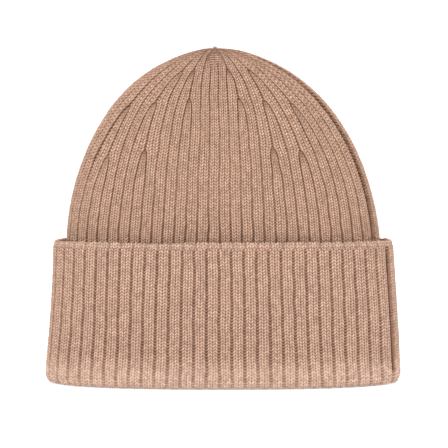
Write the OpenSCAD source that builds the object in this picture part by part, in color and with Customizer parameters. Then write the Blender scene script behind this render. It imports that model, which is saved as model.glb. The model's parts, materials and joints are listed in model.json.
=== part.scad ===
// A rib-knit beanie with a deep turned-up cuff, standing on the fold of its cuff.
// Origin: middle of the footprint, on the ground. +Z points to the crown, the front faces -Y,
// +X is the wearer's left, where the side seam runs. Millimetres.

/* [Hat] */
// Height of the knitting from the cuff's fold to the tip of the crown
hat_height = 207; // [195:1:225]
// Squareness of the oval that the hat makes seen from above (2 is an ellipse)
oval_power = 2.4; // [2:0.1:3]

/* [Cuff] */
// Width of the turned-up cuff at its fold
cuff_width = 220; // [212:1:232]
// Depth of the turned-up cuff at its fold, front to back
cuff_depth = 100; // [94:1:112]
// How much the cuff narrows on each side from its fold to its upper edge
cuff_taper = 5; // [3:0.5:6]
// Height of the cuff's upper edge above the ground
cuff_height = 88; // [80:1:95]
// Thickness of the cuff's knitting
cuff_wall = 3.2; // [2.6:0.1:3.4]
// Height of the plain cast-on welt along the cuff's upper edge
welt_height = 4; // [3:0.5:6]
// Height of the turn where the body folds up into the cuff
fold_height = 6; // [5:0.5:8]

/* [Body] */
// Width of the body where it leaves the cuff
body_width = 193; // [186:1:196]
// Depth of the body where it leaves the cuff, front to back
body_depth = 74; // [70:1:80]
// Thickness of the body's knitting
body_wall = 3; // [2.4:0.1:3.2]
// Height at which the crown's first decreases are knitted
crown_start = 147; // [135:1:155]

/* [Crown] */
// Sideways lean of the tip, away from the side seam
tip_lean = 5; // [0:0.5:7]
// Radius of the drawn-in ring of closing yarn under the tip
closing_ring = 4.6; // [4:0.1:5]
// Radius of the closing yarn
closing_yarn_r = 0.9; // [0.7:0.1:1.1]
// Height of the tuft of yarn at the tip
tuft_height = 1.6; // [1:0.1:2.5]

/* [Side seam] */
// Width of the seam allowance along the wall
seam_width = 4; // [3:0.5:5]
// Thickness of the seam allowance, inwards from the body's inner wall
seam_depth = 2.6; // [2:0.1:2.8]
// Spacing of the seaming stitches
stitch_pitch = 5; // [4:0.5:8]

/* [Care label] */
// Length of the folded label, out from the seam
label_length = 24; // [18:1:26]
// Height of the label along the seam
label_height = 34; // [26:1:36]
// Height of the label's lower edge above the ground
label_bottom = 98; // [96:1:102]
// Thickness of the folded label
label_wall = 1; // [0.8:0.1:1.2]

/* [Hidden] */

sides = 80;                       // facets round the oval
body_exit = cuff_height + 3;      // height at which the body's sides turn into the dome
layer_gap = 0.6;                  // space between the body and the cuff at the fold
fold_wall = cuff_wall + layer_gap + body_wall;
hair = 0.1;                       // clearance between pieces that lie against each other
seam_clear = 0.5;                 // clearance between a wall and the allowance that follows it
seam_reach = 0.955;               // how far out towards +X the seam lies, as a share of the half width
seam_angle = -acos(pow(seam_reach, oval_power / 2));
seam_top = hat_height - 14;
cuff_seam_bottom = 24;
label_gap = 0.8;                  // free edge between the seam allowance and the label

// Power that keeps the sign of its base
function signed_pow(v, p) = sign(v) * pow(abs(v), p);

// A value held between two limits
function held(v, low, high) = min(max(v, low), high);

// Share of the way from the body's exit to the tip, for a wall set in by inset
function rise(z, inset) = held((z - body_exit) / (hat_height - inset - body_exit), 0, 1);

// How the dome narrows, in width and in depth, with the share of the rise
function dome_x(h) = pow(1 - pow(h, 2.2), 0.52) * (1 - 0.1 * h);
function dome_y(h) = pow(1 - pow(h, 2.4), 0.5);

// Half width and half depth of the body, which flares inside the cuff and domes above it
function flare(z) = pow(held((body_exit - z) / (body_exit - fold_height), 0, 1), 1.2);
function body_x(z, inset) =
    let (flared = cuff_width / 2 - cuff_wall - layer_gap - body_width / 2)
    (body_width / 2 + flared * flare(z) - inset) * dome_x(rise(z, inset));
function body_y(z, inset) =
    let (flared = cuff_depth / 2 - cuff_wall - layer_gap - body_depth / 2)
    (body_depth / 2 + flared * flare(z) - inset) * dome_y(rise(z, inset));
function lean(z) = -tip_lean * pow(rise(z, 0), 3);

// Half width and half depth of the cuff, which tapers evenly above the fold
function cuff_rise(z) = held((z - fold_height) / (cuff_height - fold_height), 0, 1);
function cuff_x(z, inset) = cuff_width / 2 - cuff_taper * cuff_rise(z) - inset;
function cuff_y(z, inset) = cuff_depth / 2 - cuff_taper * cuff_rise(z) - inset;

// A point on an oval of half sizes a and b, and the ring of all its points
function oval_point(a, b, angle) = [
    a * signed_pow(cos(angle), 2 / oval_power),
    b * signed_pow(sin(angle), 2 / oval_power)
];
function oval(a, b) = [for (i = [0:sides - 1]) oval_point(a, b, 360 * i / sides)];
function ring(a, b, z, shift) = [for (p = oval(a, b)) [p.x + shift, p.y, z]];

// Outward direction, in plan, of an oval at an angle
function oval_normal(a, b, angle) =
    let (
        p = oval_point(a, b, angle),
        n = [
            signed_pow(p.x / a, oval_power - 1) / a,
            signed_pow(p.y / b, oval_power - 1) / b
        ]
    )
    n / norm(n);

// Heights of the rings, evenly spaced, and closer together towards the tip
function even(low, high, count) = [for (i = [0:count]) low + (high - low) * i / count];
function closing(low, high, count) = [for (i = [0:count - 1]) low + (high - low) * sin(90 * i / count)];

// Two triangles for each quad between ring k and ring k + 1, all round
function band(k, first, n) = [
    for (i = [0:n - 1])
        let (a = first + k * n + i, b = first + k * n + (i + 1) % n)
        each [[a, b, b + n], [a, b + n, a + n]]
];
function flipped(faces) = [for (f = faces) [f[2], f[1], f[0]]];

// A closed wall between two stacks of rings, flat at both ends
module wall(outer, inner) {
    n = len(outer[0]);
    top = len(outer) - 1;
    start = len(outer) * n;
    points = [for (r = outer) each r, for (r = inner) each r];
    function rim(o, i) = [
        for (k = [0:n - 1])
            let (m = (k + 1) % n)
            each [[o + k, i + m, o + m], [o + k, i + k, i + m]]
    ];
    faces = [
        for (k = [0:top - 1]) each band(k, 0, n),
        for (k = [0:top - 1]) each flipped(band(k, start, n)),
        each rim(0, start),
        each flipped(rim(top * n, start + top * n))
    ];
    polyhedron(points, flipped(faces), convexity = 6);
}

// A closed dome between two stacks of rings, each of which ends in a tip
module dome(outer, inner, outer_tip, inner_tip) {
    n = len(outer[0]);
    top = len(outer) - 1;
    start = len(outer) * n;
    tips = 2 * start;
    points = [for (r = outer) each r, for (r = inner) each r, outer_tip, inner_tip];
    faces = [
        for (k = [0:top - 1]) each band(k, 0, n),
        for (k = [0:top - 1]) each flipped(band(k, start, n)),
        for (k = [0:n - 1])
            let (m = (k + 1) % n)
            each [
                [k, start + m, m],
                [k, start + k, start + m],
                [top * n + k, top * n + m, tips],
                [start + top * n + m, start + top * n + k, tips + 1]
            ]
    ];
    polyhedron(points, flipped(faces), convexity = 6);
}

// A closed bar through a list of four-cornered sections
module bar(sections) {
    last = 4 * (len(sections) - 1);
    points = [for (s = sections) each s];
    faces = [
        for (k = [0:len(sections) - 2]) each band(k, 0, 4),
        [0, 2, 1], [0, 3, 2],
        [last, last + 1, last + 2], [last, last + 2, last + 3]
    ];
    polyhedron(points, flipped(faces), convexity = 4);
}

// The seam's place on a wall, its outward direction, and the direction along the wall
function body_seam_point(z, inset) =
    let (p = oval_point(body_x(z, inset), body_y(z, inset), seam_angle))
    [p.x + lean(z), p.y, z];
function body_seam_out(z, inset) =
    let (n = oval_normal(body_x(z, inset), body_y(z, inset), seam_angle))
    [n.x, n.y, 0];
function along(out) = [-out.y, out.x, 0];

// Four corners of a seam allowance that stands inward from a wall
function allowance(at, out, width, depth) =
    let (side = along(out) * width / 2)
    [at - side, at + side, at + side - out * depth, at - side - out * depth];

module knit_body() {
    heights = even(fold_height, crown_start, 9);
    color("#bd9a84")
        wall(
            [for (z = heights) ring(body_x(z, 0), body_y(z, 0), z, lean(z))],
            [for (z = heights) ring(body_x(z, body_wall), body_y(z, body_wall), z, lean(z))]
        );
}

module crown() {
    steps = 13;
    outer_heights = closing(crown_start, hat_height, steps);
    inner_heights = closing(crown_start, hat_height - body_wall, steps);
    color("#c29f88")
        dome(
            [for (z = outer_heights) ring(body_x(z, 0), body_y(z, 0), z, lean(z))],
            [for (z = inner_heights) ring(body_x(z, body_wall), body_y(z, body_wall), z, lean(z))],
            [-tip_lean, 0, hat_height],
            [-tip_lean, 0, hat_height - body_wall]
        );
}

module cuff() {
    heights = even(fold_height, cuff_height - welt_height, 5);
    color("#c7a28a")
        wall(
            [for (z = heights) ring(cuff_x(z, 0), cuff_y(z, 0), z, 0)],
            [for (z = heights) ring(cuff_x(z, cuff_wall), cuff_y(z, cuff_wall), z, 0)]
        );
}

module cuff_fold() {
    color("#d4ae95")
        linear_extrude(fold_height)
            difference() {
                polygon(oval(cuff_width / 2, cuff_depth / 2));
                polygon(oval(cuff_width / 2 - fold_wall, cuff_depth / 2 - fold_wall));
            }
}

module cuff_welt() {
    rounding = 1.2;
    low = cuff_height - welt_height;
    // Height and roundness of each ring: full wall first, then drawn in at the upper edge
    steps = [[low, 0], [cuff_height - rounding, 0], [cuff_height - 0.35, 0.5], [cuff_height, 1]];
    color("#cda98f")
        wall(
            [for (s = steps) ring(cuff_x(s[0], s[1]), cuff_y(s[0], s[1]), s[0], 0)],
            [for (s = steps) ring(cuff_x(s[0], cuff_wall - s[1]), cuff_y(s[0], cuff_wall - s[1]), s[0], 0)]
        );
}

module side_seam() {
    inset = body_wall + seam_clear;
    color("#9c7356")
        bar([
            for (z = even(fold_height + 2, seam_top, 24))
                allowance(body_seam_point(z, inset), body_seam_out(z, inset), seam_width, seam_depth)
        ]);
}

// The cuff's allowance is hidden between the cuff and the body, so it fills the space there
module cuff_seam() {
    inset = cuff_wall + seam_clear;
    color("#9c7356")
        bar([
            for (z = even(cuff_seam_bottom, cuff_height - welt_height, 6))
                let (
                    a = cuff_x(z, inset),
                    b = cuff_y(z, inset),
                    p = oval_point(a, b, seam_angle),
                    out = oval_normal(a, b, seam_angle),
                    space = a - body_x(z, 0)
                )
                allowance([p.x, p.y, z], [out.x, out.y, 0], seam_width, 0.55 * space)
        ]);
}

// Seaming yarn crosses the allowance once in every few rows
module seam_stitches() {
    thread = 0.6;
    inset = body_wall + seam_clear + seam_depth + hair;
    color("#a98468")
        for (z = [fold_height + 8:stitch_pitch:seam_top - 8]) {
            at = body_seam_point(z, inset);
            out = body_seam_out(z, inset);
            lift = atan2(body_x(z + 1, inset) + lean(z + 1) - body_x(z - 1, inset) - lean(z - 1), 2);
            translate(at - out * thread / 4)
                rotate([0, 0, atan2(out.y, out.x)])
                    rotate([0, lift, 0])
                        cube([thread / 2, seam_width - 0.6, thread], center = true);
        }
}

module closing_yarn() {
    ring_z = hat_height - body_wall - closing_yarn_r - 1.6;
    color("#8d6a50")
        translate([-tip_lean, 0, ring_z])
            rotate_extrude($fn = 40)
                translate([closing_ring, 0])
                    circle(r = closing_yarn_r, $fn = 16);
}

module yarn_tuft() {
    color("#d8cbbd")
        translate([-tip_lean, 0, hat_height]) {
            intersection() {
                translate([0, 0, 0.1])
                    sphere(r = tuft_height, $fn = 24);
                translate([0, 0, hair + tuft_height])
                    cube([4 * tuft_height, 4 * tuft_height, 2 * tuft_height], center = true);
            }
        }
}

// The label's hinge line follows the inner edge of the seam allowance
function label_edge(z) =
    let (inset = body_wall + hair, out = body_seam_out(z, inset), reach = seam_clear - hair + seam_depth)
    body_seam_point(z, inset) - out * (reach + label_gap) + along(out) * label_gap;
label_low = label_edge(label_bottom);
label_high = label_edge(label_bottom + label_height);
label_axis = (label_high - label_low) / norm(label_high - label_low);
label_side = cross([0, 0, 1], [1, 0, 0]);          // the label lies back along +Y at rest
label_face = cross(label_side, label_axis) / norm(cross(label_side, label_axis));

// A thin upright slab beside the hinge line
module slab(from, to, low, high, thick) {
    half = label_face * thick / 2;
    corners = [label_side * from - half, label_side * to - half, label_side * to + half, label_side * from + half];
    bar([
        for (h = [low, high])
            [for (c = corners) label_low + label_axis * h + c]
    ]);
}

module care_label() {
    color("#efe9e0")
        slab(0, label_length, 0, norm(label_high - label_low), label_wall);
}

// Two bar tacks, each a pair of thread bars on the two faces of the label
module label_tacks() {
    thread = 0.5;
    tack_length = 5;
    tack_inset = 2;
    run = norm(label_high - label_low);
    color("#c9b8a6")
        for (start = [tack_inset, run - tack_inset - tack_length], face = [-1, 1])
            translate(label_face * face * (label_wall / 2 + thread / 2 + 0.02))
                slab(0.6, 1.8, start, start + tack_length, thread);
}

knit_body();
crown();
cuff();
cuff_fold();
cuff_welt();
side_seam();
cuff_seam();
seam_stitches();
closing_yarn();
yarn_tuft();
care_label();
label_tacks();
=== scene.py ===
"""A rib-knit beanie with a deep turned-up cuff, standing on the fold of its cuff.

The hat is one knitted tube. A place on it is given by two numbers: its share of the way round,
from 0 at the side seam to 1 back at the seam, counted anticlockwise from above, and its row,
counted up the body from where it leaves the cuff, or up the cuff from its fold.
"""

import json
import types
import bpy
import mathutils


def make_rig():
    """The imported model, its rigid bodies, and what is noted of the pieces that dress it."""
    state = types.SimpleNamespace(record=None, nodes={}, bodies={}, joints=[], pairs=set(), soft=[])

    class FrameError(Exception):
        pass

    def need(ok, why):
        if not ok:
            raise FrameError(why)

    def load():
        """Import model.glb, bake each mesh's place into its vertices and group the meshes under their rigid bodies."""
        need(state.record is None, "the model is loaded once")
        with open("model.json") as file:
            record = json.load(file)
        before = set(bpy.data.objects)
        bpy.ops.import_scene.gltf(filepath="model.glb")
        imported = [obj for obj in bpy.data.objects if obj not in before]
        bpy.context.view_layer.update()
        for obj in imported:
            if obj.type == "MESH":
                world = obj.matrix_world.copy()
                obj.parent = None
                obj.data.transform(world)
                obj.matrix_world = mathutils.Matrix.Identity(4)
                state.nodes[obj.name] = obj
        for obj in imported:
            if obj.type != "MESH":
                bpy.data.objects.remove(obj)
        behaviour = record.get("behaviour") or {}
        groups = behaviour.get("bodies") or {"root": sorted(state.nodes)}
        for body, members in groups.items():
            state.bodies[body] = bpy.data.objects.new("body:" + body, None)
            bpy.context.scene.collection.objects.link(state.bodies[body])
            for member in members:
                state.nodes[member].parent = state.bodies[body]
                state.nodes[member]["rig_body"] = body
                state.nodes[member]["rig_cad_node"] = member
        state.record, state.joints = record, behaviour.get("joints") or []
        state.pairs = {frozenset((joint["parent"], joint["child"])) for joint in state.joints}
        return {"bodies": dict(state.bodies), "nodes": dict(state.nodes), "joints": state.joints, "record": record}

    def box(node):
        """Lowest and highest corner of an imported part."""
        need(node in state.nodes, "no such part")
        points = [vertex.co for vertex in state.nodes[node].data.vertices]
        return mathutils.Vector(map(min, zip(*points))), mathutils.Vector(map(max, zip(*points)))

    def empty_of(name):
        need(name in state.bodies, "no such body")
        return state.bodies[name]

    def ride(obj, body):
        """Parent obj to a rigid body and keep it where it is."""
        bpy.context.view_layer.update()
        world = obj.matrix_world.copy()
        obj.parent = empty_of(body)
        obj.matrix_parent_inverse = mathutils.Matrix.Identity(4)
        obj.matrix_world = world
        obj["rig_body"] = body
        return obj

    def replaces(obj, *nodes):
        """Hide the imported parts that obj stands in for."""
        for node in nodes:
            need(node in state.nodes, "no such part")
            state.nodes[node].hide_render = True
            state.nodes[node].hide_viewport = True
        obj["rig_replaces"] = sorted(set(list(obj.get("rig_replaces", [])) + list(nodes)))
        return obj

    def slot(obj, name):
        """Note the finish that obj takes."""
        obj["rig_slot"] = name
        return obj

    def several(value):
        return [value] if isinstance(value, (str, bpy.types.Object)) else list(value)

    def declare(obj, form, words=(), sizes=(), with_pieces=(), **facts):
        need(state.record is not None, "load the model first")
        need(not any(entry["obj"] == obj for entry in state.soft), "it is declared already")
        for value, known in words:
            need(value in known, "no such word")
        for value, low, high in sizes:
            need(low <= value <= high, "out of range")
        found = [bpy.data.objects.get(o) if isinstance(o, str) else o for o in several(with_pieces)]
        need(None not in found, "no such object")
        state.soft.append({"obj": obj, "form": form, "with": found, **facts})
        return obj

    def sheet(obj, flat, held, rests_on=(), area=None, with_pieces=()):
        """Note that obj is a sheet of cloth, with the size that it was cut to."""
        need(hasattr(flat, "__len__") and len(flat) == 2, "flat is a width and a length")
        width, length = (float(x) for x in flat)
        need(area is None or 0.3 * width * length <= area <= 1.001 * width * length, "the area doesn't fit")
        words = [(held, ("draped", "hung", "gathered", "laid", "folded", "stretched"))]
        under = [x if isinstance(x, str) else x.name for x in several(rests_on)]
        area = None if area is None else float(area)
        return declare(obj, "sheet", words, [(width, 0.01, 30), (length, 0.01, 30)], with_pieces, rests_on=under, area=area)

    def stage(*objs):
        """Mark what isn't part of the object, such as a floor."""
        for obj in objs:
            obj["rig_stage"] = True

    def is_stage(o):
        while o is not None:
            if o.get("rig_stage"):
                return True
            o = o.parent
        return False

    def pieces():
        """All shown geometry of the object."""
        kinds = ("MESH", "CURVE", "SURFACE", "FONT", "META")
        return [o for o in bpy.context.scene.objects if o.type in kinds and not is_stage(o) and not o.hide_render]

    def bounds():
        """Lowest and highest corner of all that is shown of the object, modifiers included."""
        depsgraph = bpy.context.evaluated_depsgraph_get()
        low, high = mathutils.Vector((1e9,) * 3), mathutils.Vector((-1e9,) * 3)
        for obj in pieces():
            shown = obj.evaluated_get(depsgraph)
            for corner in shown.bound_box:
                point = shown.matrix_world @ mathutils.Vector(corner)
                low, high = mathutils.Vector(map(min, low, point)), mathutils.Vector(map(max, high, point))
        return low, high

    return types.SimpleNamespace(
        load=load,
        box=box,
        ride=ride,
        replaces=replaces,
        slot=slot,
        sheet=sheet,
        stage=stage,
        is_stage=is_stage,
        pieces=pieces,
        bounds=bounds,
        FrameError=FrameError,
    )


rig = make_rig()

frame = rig.load()
CAD_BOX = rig.bounds()

import json
import logging
import math
from dataclasses import dataclass, field
from enum import Enum

import bpy
import numpy as np
from mathutils import Vector

LOG = logging.getLogger("beanie")
SIZE_FILE = "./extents.json"
MM = 0.001
TURN = 2 * math.pi
UP = np.array([0.0, 0.0, 1.0])
WHITE = (1.0, 1.0, 1.0, 1.0)


# ---------------------------------------------------------------- shader maths


@dataclass(frozen=True)
class Signal:
    """A node socket that takes part in Python arithmetic."""

    graph: "Graph"
    socket: bpy.types.NodeSocket

    def __add__(self, other: "Signal | float") -> "Signal":
        """Sum."""
        return self.graph.math("ADD", self, other)

    def __sub__(self, other: "Signal | float") -> "Signal":
        """Difference."""
        return self.graph.math("SUBTRACT", self, other)

    def __rsub__(self, other: float) -> "Signal":
        """Difference from a number."""
        return self.graph.math("SUBTRACT", other, self)

    def __mul__(self, other: "Signal | float") -> "Signal":
        """Product."""
        return self.graph.math("MULTIPLY", self, other)

    __radd__ = __add__
    __rmul__ = __mul__

    def floor(self) -> "Signal":
        """The whole number below."""
        return self.graph.math("FLOOR", self)

    def ripple(self) -> "Signal":
        """A sine from 0 to 1, with one wave to each whole number."""
        return self.graph.math("SINE", self * TURN) * 0.5 + 0.5

    def held(self) -> "Signal":
        """The value, held between 0 and 1."""
        return self.graph.math("ADD", self, 0.0, clamp=True)


class Graph:
    """The node tree of one material, built up by Python expressions from its Object coordinates."""

    def __init__(self, name: str) -> None:
        """Starts a material with an empty tree.

        Args:
            name: The material's name.
        """
        self.material = bpy.data.materials.new(name)
        self.material.use_nodes = True
        self.tree = self.material.node_tree
        self.tree.nodes.clear()
        self.place = Signal(self, self.node("TexCoord").outputs["Object"])

    def node(
        self,
        kind: str,
        settings: dict[str, object] | None = None,
        inputs: dict[str | int, object] | None = None,
    ) -> bpy.types.Node:
        """Adds a node.

        Args:
            kind: The node's type, without its ShaderNode prefix.
            settings: Its own properties, set first.
            inputs: A value or a Signal for each named or numbered socket.

        Returns:
            The node.
        """
        made = self.tree.nodes.new(f"ShaderNode{kind}")
        for name, value in (settings or {}).items():
            setattr(made, name, value)
        for name, value in (inputs or {}).items():
            if isinstance(value, Signal):
                self.tree.links.new(value.socket, made.inputs[name])
            else:
                made.inputs[name].default_value = value
        return made

    def math(
        self, operation: str, a: Signal | float, b: Signal | float = 0.0, clamp: bool = False
    ) -> Signal:
        """One Math node on one or two values."""
        made = self.node("Math", {"operation": operation, "use_clamp": clamp}, {0: a, 1: b})
        return Signal(self, made.outputs[0])

    def mix(self, factor: Signal | float, low: object, high: object, blend: str = "MIX") -> Signal:
        """Blends two colours.

        Args:
            factor: 0 for the low colour and 1 for the high one.
            low: A colour or a Signal.
            high: A colour or a Signal.
            blend: How they blend.

        Returns:
            The blended colour.
        """
        settings = {"data_type": "RGBA", "blend_type": blend}
        made = self.node("Mix", settings, {"Factor": factor, 6: low, 7: high})
        return Signal(self, made.outputs[2])

    def noise(self, scale: float, detail: float = 2.0) -> Signal:
        """A soft noise from 0 to 1 in Object coordinates, its features 1 / scale metres wide."""
        inputs = {"Vector": self.place, "Scale": scale, "Detail": detail, "Roughness": 0.55}
        return Signal(self, self.node("TexNoise", {}, inputs).outputs["Fac"])

    def attribute(self, name: str) -> list[Signal]:
        """The three numbers of a vector attribute of the mesh."""
        read = self.node("Attribute", {"attribute_name": name})
        return self.split(Signal(self, read.outputs["Vector"]))

    def split(self, vector: Signal) -> list[Signal]:
        """The three numbers of a vector."""
        return [Signal(self, out) for out in self.node("SeparateXYZ", {}, {0: vector}).outputs]

    def vector(self, x: Signal | float, y: Signal | float, z: Signal | float = 0.0) -> Signal:
        """A vector of three numbers."""
        return Signal(self, self.node("CombineXYZ", {}, {0: x, 1: y, 2: z}).outputs[0])

    def cloth(
        self,
        colour: Signal,
        roughness: Signal,
        height: Signal,
        relief: float,
        sheen: float,
        glow: float = 0.0,
    ) -> bpy.types.Material:
        """Ends the graph in a matte cloth shader.

        Args:
            colour: The base colour.
            roughness: The roughness.
            height: The height of the fine relief, from 0 to 1.
            relief: How far a height of 1 stands out, in metres.
            sheen: The weight of the pale sheen of loose fibres.
            glow: The strength of its own white light.

        Returns:
            The finished material.
        """
        bump = self.node("Bump", {}, {"Strength": 0.7, "Distance": relief, "Height": height})
        inputs = {
            "Base Color": colour,
            "Roughness": roughness,
            "Normal": Signal(self, bump.outputs[0]),
            "Specular IOR Level": 0.08,
            "Sheen Weight": sheen,
            "Sheen Roughness": 0.45,
            "Sheen Tint": (1.0, 0.88, 0.78, 1.0),
            "Emission Color": WHITE,
            "Emission Strength": glow,
        }
        shader = self.node("BsdfPrincipled", {}, inputs)
        out = self.node("OutputMaterial", {}, {0: Signal(self, shader.outputs[0])})
        self.tree.nodes.active = out
        return self.material


Colour = tuple[int, int, int]


def linear(colour: Colour) -> tuple[float, float, float, float]:
    """Turns a display colour from 0 to 255 into a linear one, by the sRGB curve."""
    levels = [channel / 255 for channel in colour]
    return (*[v / 12.92 if v <= 0.04045 else ((v + 0.055) / 1.055) ** 2.4 for v in levels], 1.0)


# ---------------------------------------------------------------- finishes


@dataclass(frozen=True)
class KnitFinish:
    """Heathered wool yarn, painted in shade where the knitting is deep and with painted highlight on its crests.

    The colours are those of its crests, a painted highlight, its slopes, and its pits, painted
    shade, and the two that tint it in patches. Scales are of noises, in features to the metre.
    """

    name: str
    crest: Colour
    middle: Colour
    painted_pit_shade: Colour
    rosy: Colour
    sandy: Colour
    fibre_scale: float = 1400.0
    speckle_scale: float = 420.0
    patch_scale: float = 45.0
    tint: float = 0.28
    shade: float = 0.64
    stitch_shade: float = 0.24
    grain: float = 0.46
    roughness: float = 0.78
    relief: float = 0.25 * MM
    sheen: float = 0.1

    def material(self) -> bpy.types.Material:
        """Builds the yarn's material.

        Returns:
            A material that reads the mesh's knit attribute: leg, row and depth, which is painted shade.
        """
        graph = Graph(self.name)
        leg, row, depth = graph.attribute("knit")
        cell = {"Vector": graph.vector(leg.floor(), row.floor())}
        stitch = graph.node("TexWhiteNoise", {"noise_dimensions": "2D"}, cell)
        fibres = graph.noise(self.fibre_scale, 3.0)
        speckle = graph.noise(self.speckle_scale)
        tinted = graph.mix(graph.noise(self.patch_scale, 3.0), linear(self.rosy), linear(self.sandy))
        # Painted light and shade: depth is painted shade. The colour runs from the pit colour, painted shade, through
        # the middle colour to the crest colour, painted highlight, and the patch tint shows most where the painted
        # light is highest.
        light = 1.0 - depth
        tone = graph.mix((light * 2.0).held(), linear(self.painted_pit_shade), linear(self.middle))
        tone = graph.mix((light * 1.8 - 0.8).held(), tone, linear(self.crest))
        tone = graph.mix((light * self.tint).held(), tone, tinted)
        shade = self.shade + Signal(graph, stitch.outputs["Value"]) * self.stitch_shade
        shade = shade + (fibres - 0.5) * self.grain + (speckle - 0.5) * self.grain
        colour = graph.mix(1.0, tone, graph.vector(shade, shade, shade), "MULTIPLY")
        strands = (row * 3.0 + leg * 1.5).ripple()
        roughness = self.roughness + speckle * 0.2
        return graph.cloth(colour, roughness, strands * 0.35 + fibres * 0.65, self.relief, self.sheen)


# Each yarn's colours: crest, a painted highlight; middle; pit, painted shade; then the two patch tints.
BODY_YARN = KnitFinish(
    "heather_body_yarn", (238, 209, 190), (197, 159, 135), (101, 54, 26), (196, 148, 132), (196, 164, 134)
)
CUFF_YARN = KnitFinish(
    "heather_cuff_yarn", (243, 215, 198), (203, 166, 143), (105, 59, 30), (202, 154, 138), (200, 168, 140)
)
WELT_YARN = KnitFinish(
    "cast_on_yarn", (243, 215, 198), (203, 166, 143), (108, 68, 42), (208, 162, 146), (206, 176, 148)
)
FUZZ = KnitFinish(
    "loose_fibres", (242, 218, 200), (226, 196, 174), (196, 160, 136), (228, 194, 178), (226, 202, 176)
)
SEAM_YARN = KnitFinish(
    "seaming_yarn", (188, 146, 120), (150, 108, 84), (92, 58, 40), (160, 112, 94), (160, 124, 96)
)
CLOSING_YARN = KnitFinish(
    "drawn_in_yarn", (196, 158, 134), (156, 118, 94), (104, 72, 52), (168, 122, 104), (166, 134, 106)
)
TUFT_YARN = KnitFinish(
    "pale_yarn_end", (250, 246, 240), (236, 228, 220), (200, 190, 180), (236, 224, 216), (236, 228, 214)
)


@dataclass(frozen=True)
class WovenFinish:
    """Smooth threads, so many to the metre, that lie along the label or slant over it.

    A soft unevenness, where there is any, takes a share of the colour and all of the gloss.
    """

    name: str
    light: Colour
    dark: Colour
    threads: float
    slant: float
    unevenness: float
    roughness: float
    relief: float
    sheen: float

    def material(self) -> bpy.types.Material:
        """Builds the material.

        Returns:
            The material.
        """
        graph = Graph(self.name)
        _, y, z = graph.split(graph.place)
        lines = ((z + y * self.slant) * self.threads).ripple()
        cloud = graph.noise(160.0)
        tone = lines * (1 - self.unevenness) + cloud * self.unevenness
        colour = graph.mix(tone.held(), linear(self.dark), linear(self.light))
        gloss = cloud if self.unevenness else lines
        return graph.cloth(colour, self.roughness + gloss * 0.2, lines, self.relief, self.sheen)


SATIN = WovenFinish(
    "label_satin", (238, 233, 224), (214, 208, 196), 4200.0, 0.0, 0.5, 0.38, 0.05 * MM, 0.1
)
THREAD = WovenFinish(
    "tack_thread", (214, 198, 180), (168, 150, 130), 2600.0, 0.8, 0.0, 0.6, 0.08 * MM, 0.15
)


# ---------------------------------------------------------------- meshes


@dataclass(frozen=True)
class Patch:
    """A grid of points, with the knit attribute of each: leg, row and depth, which is painted shade."""

    points: np.ndarray
    knit: np.ndarray

    def numbers(self, start: int = 0) -> np.ndarray:
        """The grid's vertex numbers, row by row."""
        return start + np.arange(self.points[..., 0].size).reshape(self.points.shape[:2])


@dataclass(frozen=True)
class Lay:
    """How strands fill the knit attribute: legs to the metre along one axis, rows up, and depth, one value of painted
    shade for all.
    """

    axis: int
    legs: float
    rows: float
    depth: float


def smooth(t: np.ndarray) -> np.ndarray:
    """An even start and end between 0 and 1: 3 t^2 - 2 t^3."""
    held = np.clip(t, 0, 1)
    return held * held * (3 - 2 * held)


def arch(t: np.ndarray) -> np.ndarray:
    """A half circle over 0 to 1, 1 high: the root of 1 - (2 t - 1)^2."""
    return np.sqrt(np.clip(1 - (2 * t - 1) ** 2, 0, 1))


def cosine(t: np.ndarray) -> np.ndarray:
    """A cosine with one wave to each whole number."""
    return np.cos(TURN * t)


def bell(t: np.ndarray) -> np.ndarray:
    """A smooth hump: exp(-t^2)."""
    return np.exp(-(t**2))


def unit(vectors: np.ndarray) -> np.ndarray:
    """Vectors, each made 1 long."""
    return vectors / np.maximum(np.linalg.norm(vectors, axis=-1, keepdims=True), 1e-15)


def turns(count: int) -> np.ndarray:
    """So many even angles round a circle, from 0."""
    return TURN * np.arange(count) / count


def cells(number: np.ndarray, closed: bool = False) -> np.ndarray:
    """The faces of a grid of vertex numbers, facing out where its rows run up.

    Args:
        number: The vertex numbers.
        closed: Whether the last column joins the first.

    Returns:
        The four corners of each face.
    """
    if closed:
        number = np.concatenate([number, number[:, :1]], axis=1)
    return np.stack([number[:-1, :-1], number[:-1, 1:], number[1:, 1:], number[1:, :-1]], axis=-1)


def strip(a: np.ndarray, b: np.ndarray) -> np.ndarray:
    """Joins two chains of vertices with triangles, whatever the length of each.

    An edge of one chain takes as its apex the vertex of the other chain that as many edge
    middles have passed.

    Args:
        a: Vertex numbers of the first chain.
        b: Vertex numbers of the second chain, running the same way.

    Returns:
        Triangles, of vertex numbers.
    """
    middle_a, middle_b = ((np.arange(len(chain) - 1) + 0.5) / (len(chain) - 1) for chain in (a, b))
    apex_b = np.searchsorted(middle_b, middle_a, side="left")
    apex_a = np.searchsorted(middle_a, middle_b, side="right")
    first = np.stack([a[:-1], a[1:], b[apex_b]], axis=1)
    second = np.stack([b[1:], b[:-1], a[apex_a]], axis=1)
    return np.concatenate([first, second])


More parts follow.
